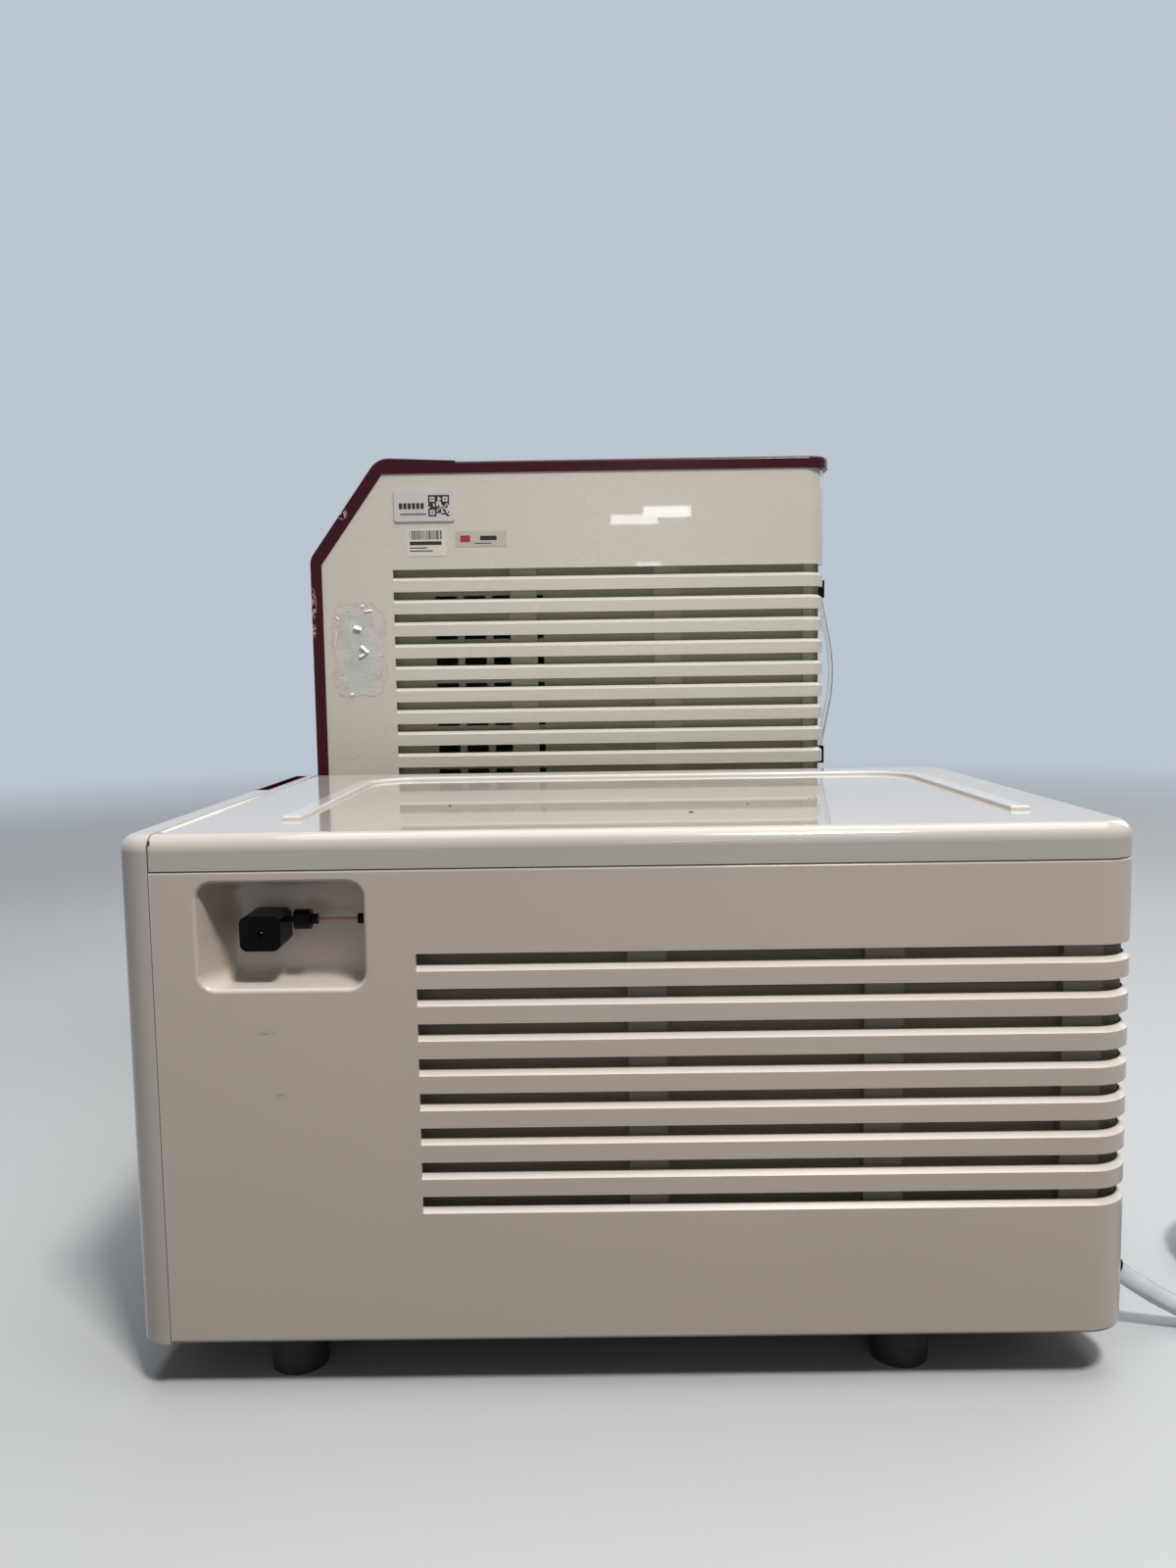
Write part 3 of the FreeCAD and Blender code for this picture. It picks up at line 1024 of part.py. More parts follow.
def rotary_valve(x, z):
    """A valve body with its stator, and a ring of tube ports."""
    face = "module_face - valve_deep"
    nose = f"{face} - stator_deep"
    parts = [rod("valve_body", "y", (face, "module_face"), (x, z), "valve_radius"),
             rod("valve_stator", "y", (nose, face), (x, z), "stator_radius")]
    for number in range(int(at("port_count"))):
        turn = f"360deg / port_count * {number}"
        parts.append(rod("valve_port", "y", (f"{nose} - port_deep", nose),
                         (f"{x} + port_ring * cos({turn})", f"{z} + port_ring * sin({turn})"), "port_radius"))
    return join("rotary_valve", parts)


def main_rear():
    keep(rear_panel("main_rear_panel", ("main_panel_low_x", "main_panel_high_x"), "main_rear",
                    ("foot_tall", "tray_low"), ("main_fan_x", "main_fan_z", "large_fan"),
                    ("main_entry_x", "main_entry_z")))
    fan("main", "main_fan_x", "main_fan_z", "main_inner_rear", "large_fan")
    power_entry("main", "main_entry_x", "main_entry_z", "main_rear")
    feet("main_feet", ("main_left + foot_inset", "main_right - foot_inset"), ("main_foot_front", "main_foot_back"))
    half_wide, half_deep = "main_supply_wide / 2", "main_supply_deep / 2"
    keep(block("main_supply", (f"main_supply_x - {half_wide}", f"main_supply_x + {half_wide}"),
               (f"main_supply_y - {half_deep}", f"main_supply_y + {half_deep}"),
               ("floor_top", "floor_top + main_supply_tall")))
    wall = "main_middle + metal / 2"
    face = f"{wall} + standoff_long"
    low_y, high_y = "main_board_y - main_board_long / 2", "main_board_y + main_board_long / 2"
    low_z, high_z = "main_board_z - main_board_tall / 2", "main_board_z + main_board_tall / 2"
    parts = [block("main_board_sheet", (face, f"{face} + board_thick"), (low_y, high_y), (low_z, high_z))]
    for end in (f"{low_y} + 2 * standoff_radius", f"{high_y} - 2 * standoff_radius"):
        for level in (f"{low_z} + 2 * standoff_radius", f"{high_z} - 2 * standoff_radius"):
            parts.append(rod("main_board_standoff", "x", (wall, face), (end, level), "standoff_radius"))
    for step in (-1, 0, 1):
        middle = f"main_board_y + {step} * main_board_long / 3"
        parts.append(block("main_board_chip", (f"{face} + board_thick", f"{face} + board_thick + chip_tall"),
                           (f"{middle} - chip_size / 2", f"{middle} + chip_size / 2"),
                           ("main_board_z - chip_size", "main_board_z + chip_size")))
    keep(join("main_board", parts))


# Tubes

def bent_path(points):
    """Straight runs joined by tangent arcs, each as large as its two runs allow, and the arcs' radii."""
    spots = [FreeCAD.Vector(*point) for point in points]
    edges, radii, start = [], [], spots[0]
    for before, corner, after in zip(spots, spots[1:], spots[2:]):
        into, out = (corner - before), (after - corner)
        half = into.getAngle(out) / 2
        radius = 0.45 * min(into.Length, out.Length) / math.tan(half)
        reach = radius * math.tan(half)
        into, out = into.normalize(), out.normalize()
        first, last = corner - into * reach, corner + out * reach
        across = (out - into).normalize()
        middle = corner + across * (radius / math.cos(half) - radius)
        edges.append(Part.LineSegment(start, first).toShape())
        edges.append(Part.Arc(first, middle, last).toShape())
        radii.append(radius)
        start = last
    edges.append(Part.LineSegment(start, spots[-1]).toShape())
    return Part.Wire(edges), radii


def tube(name, points, radius):
    """A round tube along a bent path. Its volume is compared with its section times its length."""
    path, radii = bent_path(points)
    heading = FreeCAD.Vector(*points[1]) - FreeCAD.Vector(*points[0])
    ring = Part.Wire(Part.makeCircle(at(radius), FreeCAD.Vector(*points[0]), heading))
    solid = path.makePipeShell([ring], True, True)
    expected = math.pi * at(radius) ** 2 * path.Length
    if abs(solid.Volume / expected - 1) > 0.01:
        raise RuntimeError(f"{name} has a volume of {solid.Volume:.0f}, not {expected:.0f}")
    print(name, "length", round(path.Length, 1), "radii", [round(value, 1) for value in radii])
    piece = doc.addObject("Part::Feature", name)
    piece.Shape = solid
    return piece


def link_tube():
    """The short translucent tube that bulges out behind the separation unit, and its two dark end ports."""
    sides = ("link_side - link_port_half", "link_side + link_port_half")
    deep = ("main_rear", "main_rear + link_port_deep")
    keep(several("link_ports", [
        block("link_port_high", sides, deep, ("link_high", "link_high + link_port_tall")),
        block("link_port_low", sides, deep, ("link_low - link_port_tall", "link_low")),
    ]))
    side, out = at("link_side"), at("link_out")
    middle = (at("link_high") + at("link_low")) / 2
    seat = at("link_seat")
    keep(tube("link_tube", [(side, out, at("link_high") + seat), (side, at("link_bulge"), middle),
                            (side, out, at("link_low") - seat)], "link_radius"))


def drain():
    """The drain elbow behind the collector, the hose that falls to the bench, and its coil."""
    side, back, level = at("hose_side"), at("drain_back"), at("drain_level")
    drop = math.radians(at("drain_drop"))
    down = FreeCAD.Vector(0, math.cos(drop), -math.sin(drop))
    corner = FreeCAD.Vector(side, back, level)
    stub = Part.makeCylinder(at("drain_radius"), back - at("rear_face"), FreeCAD.Vector(side, at("rear_face"), level),
                             FreeCAD.Vector(0, 1, 0))
    nozzle = Part.makeCylinder(at("drain_radius"), at("drain_reach"), corner, down)
    elbow = doc.addObject("Part::Feature", "drain_elbow")
    elbow.Shape = stub.fuse([Part.makeSphere(at("drain_radius"), corner), nozzle]).removeSplitter()
    start = corner + down * at("drain_reach")
    low = at("hose_radius") + 0.1
    touch = start.y + (start.z - low) / math.tan(drop)
    end = at("coil_middle_y - coil_lead")
    points = [tuple(start), (side, touch, low), (side + 4, (touch + end) / 2, low), (side, end, low)]
    keep(elbow, tube("drain_hose", points, "hose_radius"))
    mean, thick = at("coil_mean"), at("hose_radius + coil_slack")
    centre = FreeCAD.Vector(side - mean, at("coil_middle_y"), 0)
    coil = doc.addObject("Part::Feature", "drain_hose_coil")
    coil.Shape = Part.makeCylinder(mean + thick, at("coil_tall"), centre).cut(
        Part.makeCylinder(mean - thick, at("coil_tall"), centre))
    keep(coil)


def write_parts():
    """Recomputes and checks the whole document, then writes one file for each sub-part."""
    doc.recompute()
    faults = [thing.Name for thing in doc.Objects if {"Invalid", "Error"} & set(thing.State)]
    faults += [part.Label for part in SUBPARTS if part.Shape.isNull() or not part.Shape.isValid()]
    if faults:
        raise RuntimeError("failed: " + ", ".join(faults))
    os.makedirs("parts", exist_ok=True)
    for part in SUBPARTS:
        part.Shape.exportStep(f"parts/{part.Label}.step")
    print(len(SUBPARTS), "sub-parts written")


def build():
    fill_sheet()
    collector_housing()
    collector_chassis()
    drawer_slides()
    drawer()
    cassettes()
    gantry()
    inlet_fittings()
    main_sides()
    main_front_and_console()
    main_top()
    main_chassis()
    flow_modules()
    main_rear()
    link_tube()
    drain()
    write_parts()


build()
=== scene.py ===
"""The looks of a bench chromatography system: a low fraction collector beside a tall separation unit.

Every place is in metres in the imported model's frame: +X to the right, -Y to the front, +Z up.
"""

import json
import math
import random
import bmesh
import bpy
from mathutils import Matrix, Vector, noise


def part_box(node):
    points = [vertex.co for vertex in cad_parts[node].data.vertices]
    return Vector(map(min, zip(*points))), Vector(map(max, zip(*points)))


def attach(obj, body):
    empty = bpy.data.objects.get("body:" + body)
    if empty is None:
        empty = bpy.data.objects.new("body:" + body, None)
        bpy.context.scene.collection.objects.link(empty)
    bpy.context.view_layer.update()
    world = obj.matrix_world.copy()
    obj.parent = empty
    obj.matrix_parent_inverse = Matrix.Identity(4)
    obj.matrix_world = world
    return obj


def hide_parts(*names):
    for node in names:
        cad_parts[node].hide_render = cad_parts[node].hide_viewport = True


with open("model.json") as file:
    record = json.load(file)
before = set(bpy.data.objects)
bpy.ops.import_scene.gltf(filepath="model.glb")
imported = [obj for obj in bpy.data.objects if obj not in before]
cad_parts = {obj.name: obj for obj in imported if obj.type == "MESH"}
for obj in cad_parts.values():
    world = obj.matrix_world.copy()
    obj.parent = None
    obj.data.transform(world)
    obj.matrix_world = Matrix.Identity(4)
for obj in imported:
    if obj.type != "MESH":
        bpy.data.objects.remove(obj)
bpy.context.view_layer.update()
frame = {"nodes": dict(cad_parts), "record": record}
MM = 0.001

# Places that the pieces and the marks on the surfaces share
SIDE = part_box("collector_side_right")[1].x
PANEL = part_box("main_side_right")[1].x
FRAME_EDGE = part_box("main_front_frame")[1].x
COVER_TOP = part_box("drawer_front")[1].z
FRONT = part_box("main_front_frame")[0].y
REAR_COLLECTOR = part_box("collector_rear_panel")[1].y
REAR_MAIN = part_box("main_rear_panel")[1].y


# Materials

class Graph:
    """A material's nodes, with short calls that add a node and join it to others."""

    def __init__(self, name, colour, roughness, **constants):
        self.material = bpy.data.materials.new(name)
        self.material.use_nodes = True
        self.tree = self.material.node_tree
        self.shader = self.tree.nodes["Principled BSDF"]
        self.colour, self.roughness = (*colour, 1.0), roughness
        self.shader.inputs["Base Color"].default_value = self.colour
        self.shader.inputs["Roughness"].default_value = roughness
        for label, value in constants.items():
            self.shader.inputs[label.replace("_", " ")].default_value = value
        self.place = self.node("TexCoord").outputs["Object"]

    def feed(self, socket, value):
        if isinstance(value, bpy.types.NodeSocket):
            self.tree.links.new(value, socket)
        else:
            socket.default_value = value

    def node(self, kind, values=None, **settings):
        made = self.tree.nodes.new("ShaderNode" + kind)
        for label, value in settings.items():
            setattr(made, label, value)
        for socket, value in (values or {}).items():
            self.feed(made.inputs[socket], value)
        return made

    def noise(self, scale, detail=3.0, stretch=(1, 1, 1), warp=0.0):
        place = self.node("VectorMath", {0: self.place, 1: stretch}, operation="MULTIPLY").outputs[0]
        values = {"Vector": place, "Scale": scale, "Detail": detail, "Distortion": warp}
        return self.node("TexNoise", values).outputs["Fac"]

    def span(self, value, low, high, start=0.0, end=1.0):
        values = {"Value": value, "From Min": low, "From Max": high, "To Min": start, "To Max": end}
        return self.node("MapRange", values).outputs["Result"]

    def times(self, first, second):
        return self.node("Math", {0: first, 1: second}, operation="MULTIPLY").outputs[0]

    def plus(self, first, second):
        return self.node("Math", {0: first, 1: second}, operation="ADD").outputs[0]

    def most(self, values):
        found = values[0]
        for value in values[1:]:
            found = self.node("Math", {0: found, 1: value}, operation="MAXIMUM").outputs[0]
        return found

    def mix(self, amount, first, second):
        return self.node("Mix", {0: amount, 6: first, 7: second}, data_type="RGBA").outputs[2]

    def spot(self, centre, size):
        """One at a place, falling to nothing at an ellipsoid's surface round it."""
        off = self.node("VectorMath", {0: self.place, 1: centre}, operation="SUBTRACT").outputs[0]
        near = self.node("VectorMath", {0: off, 1: size}, operation="DIVIDE").outputs[0]
        far = self.node("VectorMath", {0: near}, operation="LENGTH").outputs["Value"]
        return self.span(far, 0.35, 1.0, 1.0, 0.0)

    def bump(self, height, depth, before=None):
        made = self.node("Bump", {"Height": height, "Distance": depth, "Strength": 1.0})
        if before:
            self.feed(made.inputs["Normal"], before)
        return made.outputs["Normal"]

    def set(self, **links):
        for label, value in links.items():
            self.feed(self.shader.inputs[label.replace("_", " ")], value)
        return self

    def shade(self, amount=0.06, scale=7.0):
        """The base colour, varied softly from place to place."""
        dark = tuple(part * (1 - amount) for part in self.colour[:3]) + (1.0,)
        light = tuple(min(1.0, part * (1 + amount / 2)) for part in self.colour[:3]) + (1.0,)
        return self.mix(self.span(self.noise(scale, 4.0), 0.3, 0.7), dark, light)


def moulded(name, colour, roughness=0.3, grain=0.00002, peel=0.00001, painted_top_light=0.0, marks=(),
            highlight_above=0.0, dirt=(0.30, 0.25, 0.20), **constants):
    """A moulded panel: a fine skin, handling smudges in its gloss, faint dust and marks at given places.

    Faces that look up are paler by the share given, a painted highlight of the light from above, and
    what stands above the given height is paler, a painted highlight, and duller.
    """
    graph = Graph(name, colour, roughness, **constants)
    smudge = graph.noise(11.0, 4.0, (1, 1, 1.8), 0.2)
    skin = graph.noise(1600.0, 2.0)
    waves = graph.noise(5.0, 1.0)
    tone = graph.shade(0.035, 4.0)
    dust = graph.span(graph.noise(420.0, 2.0), 0.70, 0.76, 0.0, 0.18)
    tone = graph.mix(dust, tone, (*dirt, 1.0))
    rough = graph.span(smudge, 0.15, 0.85, roughness - 0.05, roughness + 0.06)
    # Painted highlight: faces that look up are mixed towards a pale colour, as light from above would
    # brighten them.
    if painted_top_light:
        facing = graph.node("SeparateXYZ", {0: graph.node("NewGeometry").outputs["Normal"]}).outputs["Z"]
        tone = graph.mix(graph.span(facing, 0.3, 0.95, 0.0, painted_top_light), tone, (0.88, 0.83, 0.77, 1.0))
    # Painted highlight: whatever stands above the given height, the cover's raised rim, is mixed towards a
    # paler colour.
    if highlight_above:
        height = graph.node("SeparateXYZ", {0: graph.place}).outputs["Z"]
        high = graph.span(height, highlight_above + 0.0001, highlight_above + 0.0003)
        tone = graph.mix(high, tone, (0.65, 0.625, 0.59, 1.0))
        rough = graph.plus(rough, graph.times(high, 0.12))
    if marks:
        scratch = graph.span(graph.noise(900.0, 6.0, (1, 0.35, 1.6), 1.5), 0.47, 0.56)
        worn = graph.times(graph.most([graph.spot(*mark) for mark in marks]), scratch)
        tone = graph.mix(graph.times(worn, 0.8), tone, (*dirt, 1.0))
        rough = graph.plus(rough, graph.times(worn, 0.3))
    normal = graph.bump(skin, grain, graph.bump(graph.noise(130.0, 2.0), peel, graph.bump(waves, 0.0004)))
    return graph.set(Base_Color=tone, Roughness=rough, Normal=normal).material


def lacquered(name, colour, roughness=0.12, chips=(), **constants):
    """Glossy dark mouldings, with fine haze, and pale chips where the edge was knocked."""
    graph = Graph(name, colour, roughness, **constants)
    haze = graph.noise(60.0, 6.0, (1, 1, 1), 0.4)
    tone = graph.shade(0.12, 9.0)
    rough = graph.span(haze, 0.4, 0.8, roughness, roughness + 0.12)
    if chips:
        flake = graph.span(graph.noise(520.0, 5.0, (1, 1, 0.6), 0.8), 0.50, 0.53)
        bare = graph.times(graph.most([graph.spot(*chip) for chip in chips]), flake)
        tone = graph.mix(bare, tone, (0.62, 0.42, 0.42, 1.0))
        rough = graph.plus(rough, graph.times(bare, 0.4))
    normal = graph.bump(graph.noise(900.0, 2.0), 0.00001, graph.bump(graph.noise(18.0, 2.0), 0.0001))
    return graph.set(Base_Color=tone, Roughness=rough, Normal=normal).material


def coated(name, colour, roughness=0.5, texture=0.00006, scale=900.0, **constants):
    """Powder-coated sheet metal, with a fine orange-peel skin."""
    graph = Graph(name, colour, roughness, **constants)
    peel = graph.noise(scale, 2.0)
    rough = graph.span(graph.noise(30.0, 4.0), 0.3, 0.7, roughness - 0.06, roughness + 0.10)
    return graph.set(Base_Color=graph.shade(0.08, 12.0), Roughness=rough,
                     Normal=graph.bump(peel, texture)).material


def brushed(name, colour, roughness, stretch):
    """Metal with fine brush lines along one direction, and a few darker finger marks."""
    graph = Graph(name, colour, roughness, Metallic=1.0)
    lines = graph.noise(1100.0, 3.0, stretch)
    stain = graph.span(graph.noise(22.0, 4.0, (1, 1, 1), 0.5), 0.55, 0.75, 0.0, 0.10)
    dim = tuple(part * 0.86 for part in colour) + (1.0,)
    tone = graph.mix(graph.span(lines, 0.3, 0.7), dim, graph.colour)
    rough = graph.plus(graph.span(lines, 0.3, 0.7, roughness - 0.05, roughness + 0.08), stain)
    return graph.set(Base_Color=tone, Roughness=rough, Normal=graph.bump(lines, 0.00001)).material


def grained(name, colour, roughness=0.55, scale=1500.0, depth=0.00008, **constants):
    """Spark-eroded dark or pale plastic, with rubbed patches."""
    graph = Graph(name, colour, roughness, **constants)
    cells = graph.node("TexVoronoi", {"Vector": graph.place, "Scale": scale}).outputs["Distance"]
    rubbed = graph.noise(45.0, 4.0)
    rough = graph.span(rubbed, 0.35, 0.7, roughness - 0.12, roughness + 0.06)
    return graph.set(Base_Color=graph.shade(0.18, 30.0), Roughness=rough,
                     Normal=graph.bump(cells, depth)).material


def rubber(name, colour):
    """Matt rubber with a bloom of dust."""
    graph = Graph(name, colour, 0.75)
    bloom = graph.span(graph.noise(160.0, 5.0), 0.5, 0.8, 0.0, 0.35)
    tone = graph.mix(bloom, graph.shade(0.2, 40.0), (0.12, 0.115, 0.11, 1.0))
    return graph.set(Base_Color=tone, Normal=graph.bump(graph.noise(1300.0, 3.0), 0.00008)).material


def clear(name, colour, roughness, through, haze, index=1.47):
    """Translucent hose, tube or vial wall, with a milky haze inside it."""
    graph = Graph(name, colour, roughness, Transmission_Weight=through, IOR=index)
    cloud = graph.span(graph.noise(70.0, 4.0), 0.3, 0.7)
    tone = graph.mix(cloud, graph.colour, tuple(part + (1 - part) * haze for part in colour) + (1.0,))
    rough = graph.span(graph.noise(240.0, 3.0), 0.3, 0.7, roughness, roughness + 0.1)
    ripple = graph.bump(graph.noise(300.0, 2.0), 0.00002)
    return graph.set(Base_Color=tone, Roughness=rough, Normal=ripple).material


def circuit(name):
    """A green circuit board, with copper tracks showing faintly under the lacquer."""
    graph = Graph(name, (0.02, 0.12, 0.045), 0.35)
    tracks = {"Vector": graph.place, "Scale": 90.0, "Mortar Size": 0.012}
    cells = graph.node("TexBrick", tracks).outputs["Fac"]
    tone = graph.mix(cells, graph.shade(0.2, 50.0), (0.05, 0.22, 0.08, 1.0))
    return graph.set(Base_Color=tone, Normal=graph.bump(cells, 0.00004)).material


def residue_look(name, colour):
    """Dried glue: streaked, with duller and shinier patches and brown ticks of dirt."""
    graph = Graph(name, colour, 0.4)
    streaks = graph.noise(150.0, 5.0, (1, 0.5, 2.6), 0.8)
    patches = graph.noise(110.0, 5.0, (1, 1, 1), 1.0)
    milky = graph.span(streaks, 0.58, 0.70, 0.0, 0.5)
    tone = graph.mix(milky, graph.shade(0.10, 90.0), (0.66, 0.65, 0.62, 1.0))
    tone = graph.mix(graph.span(patches, 0.60, 0.66, 0.0, 0.45), tone, (0.33, 0.26, 0.24, 1.0))
    rough = graph.span(patches, 0.35, 0.65, 0.25, 0.6)
    return graph.set(Base_Color=tone, Roughness=rough, Normal=graph.bump(streaks, 0.0003)).material


def paper(name, colour, roughness=0.45):
    """Printed or plain paper and card, slightly uneven in tone and gloss."""
    graph = Graph(name, colour, roughness)
    pulp = graph.noise(2200.0, 3.0)
    rough = graph.span(graph.noise(90.0, 3.0), 0.3, 0.7, roughness - 0.08, roughness + 0.1)
    return graph.set(Base_Color=graph.shade(0.05, 60.0), Roughness=rough,
                     Normal=graph.bump(pulp, 0.00001)).material


def side_marks():
    """Scuffs on the collector's right side: along its bottom edge, and faint ones on the plain part."""
    return [((SIDE, -0.012, 0.0305), (0.006, 0.014, 0.0022)),
            ((SIDE, -0.203, 0.212), (0.004, 0.008, 0.0018)),
            ((SIDE, -0.196, 0.176), (0.004, 0.004, 0.0016)),
            ((SIDE, 0.060, 0.0305), (0.006, 0.010, 0.0012))]


def slot_looks():
    """A material for each of the record's material slots."""
    knocks = [((FRAME_EDGE, FRONT + 0.001, 0.476), (0.004, 0.004, 0.016)),
              ((FRAME_EDGE, FRONT + 0.001, 0.452), (0.003, 0.003, 0.008)),
              ((FRAME_EDGE, FRONT + 0.030, 0.556), (0.003, 0.006, 0.006))]
    return {
        # collector_white and unit_white: faces that look up get a painted highlight of the light from above.
        "collector_white": moulded("collector_white", (0.64, 0.55, 0.48), 0.24, painted_top_light=0.6,
                                   marks=side_marks(), Coat_Weight=0.25, Coat_Roughness=0.08),
        # cover_white: the raised rim above the cover top gets a painted highlight.
        "cover_white": moulded("cover_white", (0.59, 0.54, 0.49), 0.12, 0.00001, highlight_above=COVER_TOP,
                               Specular_IOR_Level=0.2, Coat_Weight=0.75, Coat_Roughness=0.03),
        "unit_white": moulded("unit_white", (0.60, 0.56, 0.50), 0.27, peel=0.0002, painted_top_light=0.5,
                              Coat_Weight=0.45, Coat_Roughness=0.02),
        "burgundy": lacquered("burgundy", (0.045, 0.006, 0.010), 0.16, knocks, Specular_IOR_Level=0.15,
                              Coat_Weight=0.06, Coat_Roughness=0.05),
        "chassis_grey": coated("chassis_grey", (0.36, 0.30, 0.22), 0.55),
        "shield_olive": coated("shield_olive", (0.42, 0.40, 0.29), 0.6),
        "panel_grey": coated("panel_grey", (0.42, 0.41, 0.385), 0.5),
        "steel": brushed("steel", (0.58, 0.58, 0.57), 0.28, (1, 0.05, 1)),
        "aluminium": brushed("aluminium", (0.68, 0.69, 0.70), 0.34, (0.05, 1, 1)),
        "dark_plastic": grained("dark_plastic", (0.003, 0.003, 0.0035), 0.34, Specular_IOR_Level=0.08),
        "ivory_plastic": grained("ivory_plastic", (0.56, 0.47, 0.34), 0.45),
        "rubber": rubber("foot_rubber", (0.012, 0.012, 0.012)),
        "line_orange": clear("line_orange", (0.72, 0.20, 0.09), 0.15, 0.35, 0.25),
        "clear_tube": clear("clear_tube", (0.80, 0.84, 0.80), 0.12, 0.80, 0.5, 1.38),
        "hose_clear": clear("hose_clear", (0.74, 0.79, 0.83), 0.16, 0.62, 0.6, 1.42),
        "vial_clear": clear("vial_clear", (0.90, 0.93, 0.94), 0.05, 0.95, 0.2, 1.45),
        "tray_grey": grained("tray_grey", (0.13, 0.135, 0.14), 0.5),
        "board_green": circuit("board_green"),
        "console_dark": lacquered("console_dark", (0.008, 0.008, 0.009), 0.08,
                                  Coat_Weight=0.8, Coat_Roughness=0.03),
        "button_grey": grained("button_grey", (0.27, 0.28, 0.29), 0.38),
    }


def dress(looks):
    """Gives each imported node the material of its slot."""
    for part in frame["record"]["subparts"]:
        mesh = frame["nodes"][part["node"]].data
        mesh.materials.clear()
        mesh.materials.append(looks[part["material_slot"]])


# Pieces that the scene adds

def make(name, mesh, body, slot, *materials):
    """An object from a mesh, on a body, with its materials. The slot argument is not used."""
    piece = bpy.data.objects.new(name, mesh)
    bpy.context.scene.collection.objects.link(piece)
    for material in materials:
        mesh.materials.append(material)
    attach(piece, body)
    return piece


def finish_mesh(name, form):
    mesh = bpy.data.meshes.new(name)
    bmesh.ops.recalc_face_normals(form, faces=form.faces)
    form.to_mesh(mesh)
    form.free()
    return mesh


def plate(form, low, high, material=0, corner=0.0, steps=4):
    """A thin flat plate on the YZ plane from one corner to the other, with rounded corners if asked."""
    (x, y0, z0), (x1, y1, z1) = low, high
    if corner:
        ring = []
        for turn, (cy, cz) in enumerate(((y1 - corner, z1 - corner), (y0 + corner, z1 - corner),
                                         (y0 + corner, z0 + corner), (y1 - corner, z0 + corner))):
            for step in range(steps + 1):
                angle = (turn + step / steps) * math.pi / 2
                ring.append((cy + corner * math.cos(angle), cz + corner * math.sin(angle)))
    else:
        ring = [(y1, z1), (y0, z1), (y0, z0), (y1, z0)]
    near = [form.verts.new((x, y, z)) for y, z in ring]
    far = [form.verts.new((x1, y, z)) for y, z in ring]
    faces = [form.faces.new(far), form.faces.new(near[::-1])]
    count = len(ring)
    for i in range(count):
        after = (i + 1) % count
        faces.append(form.faces.new((near[i], near[after], far[after], far[i])))
    for face in faces:
        face.material_index = material
        face.smooth = False


def tag_pieces(looks):
    """Three plain stick-on tags on the separation unit's side, with bars and blocks in place of print."""
    ink = paper("tag_ink", (0.006, 0.006, 0.006), 0.6)
    white = paper("tag_white", (0.57, 0.54, 0.53), 0.3)
    card = paper("tag_card", (0.66, 0.62, 0.56), 0.5)
    foil = paper("tag_foil", (0.50, 0.45, 0.39), 0.3)
    skin, print_skin = 0.0016, 0.00006
    draw = random.Random(5)

    form = bmesh.new()
    y0, y1, z0, z1 = -0.1955, -0.1410, 0.5480, 0.5756
    plate(form, (PANEL, y0, z0), (PANEL + skin, y1, z1), 0, 0.002)
    face = PANEL + skin
    for number in range(6):
        y = y0 + 0.0045 + number * 0.0039
        plate(form, (face, y, z0 + 0.0110), (face + print_skin, y + 0.0030, z0 + 0.0163), 1)
    plate(form, (face, y0 + 0.0055, z0 + 0.0056), (face + print_skin, y0 + 0.0290, z0 + 0.0072), 2)
    block_code(form, (face, y1 - 0.0235, z0 + 0.0042), 0.00146, draw)
    raised = make("asset_tag", finish_mesh("asset_tag", form), "housing", "unit_white", white, ink,
                  paper("tag_faint", (0.16, 0.13, 0.13)))
    soften(raised, 0.0004)

    form = bmesh.new()
    y0, y1, z0, z1 = -0.1845, -0.1495, 0.5170, 0.5415
    plate(form, (PANEL, y0, z0), (PANEL + 0.0003, y1, z1), 0, 0.0008)
    face, y = PANEL + 0.0003, y0 + 0.002
    while y < y1 - 0.003:
        wide = draw.choice((0.0003, 0.0005, 0.0009))
        plate(form, (face, y, z1 - 0.0095), (face + print_skin, y + wide, z1 - 0.0015), 1)
        y += wide + draw.choice((0.0003, 0.0005, 0.0008))
    plate(form, (face, y0 + 0.002, z1 - 0.0145), (face + print_skin, y1 - 0.004, z1 - 0.0112), 1)
    for row, long in ((0, 0.016), (1, 0.021)):
        z = z1 - 0.0175 - row * 0.0027
        plate(form, (face, y0 + 0.002, z), (face + print_skin, y0 + 0.002 + long, z + 0.0010), 1)
    make("bar_label", finish_mesh("bar_label", form), "housing", "unit_white", card, ink)

    form = bmesh.new()
    y0, y1, z0, z1 = -0.1405, -0.0945, 0.5250, 0.5390
    plate(form, (PANEL, y0, z0), (PANEL + 0.0003, y1, z1), 0, 0.0012)
    face = PANEL + 0.0003
    red = paper("tag_red", (0.30, 0.03, 0.03))
    plate(form, (face, y0 + 0.004, z0 + 0.004), (face + print_skin, y0 + 0.013, z1 - 0.004), 2)
    plate(form, (face, y0 + 0.022, z0 + 0.0055), (face + print_skin, y0 + 0.037, z1 - 0.0045), 1)
    plate(form, (face, y0 + 0.017, z0 + 0.0025), (face + print_skin, y0 + 0.032, z0 + 0.0033), 1)
    make("foil_label", finish_mesh("foil_label", form), "housing", "unit_white", foil, ink, red)


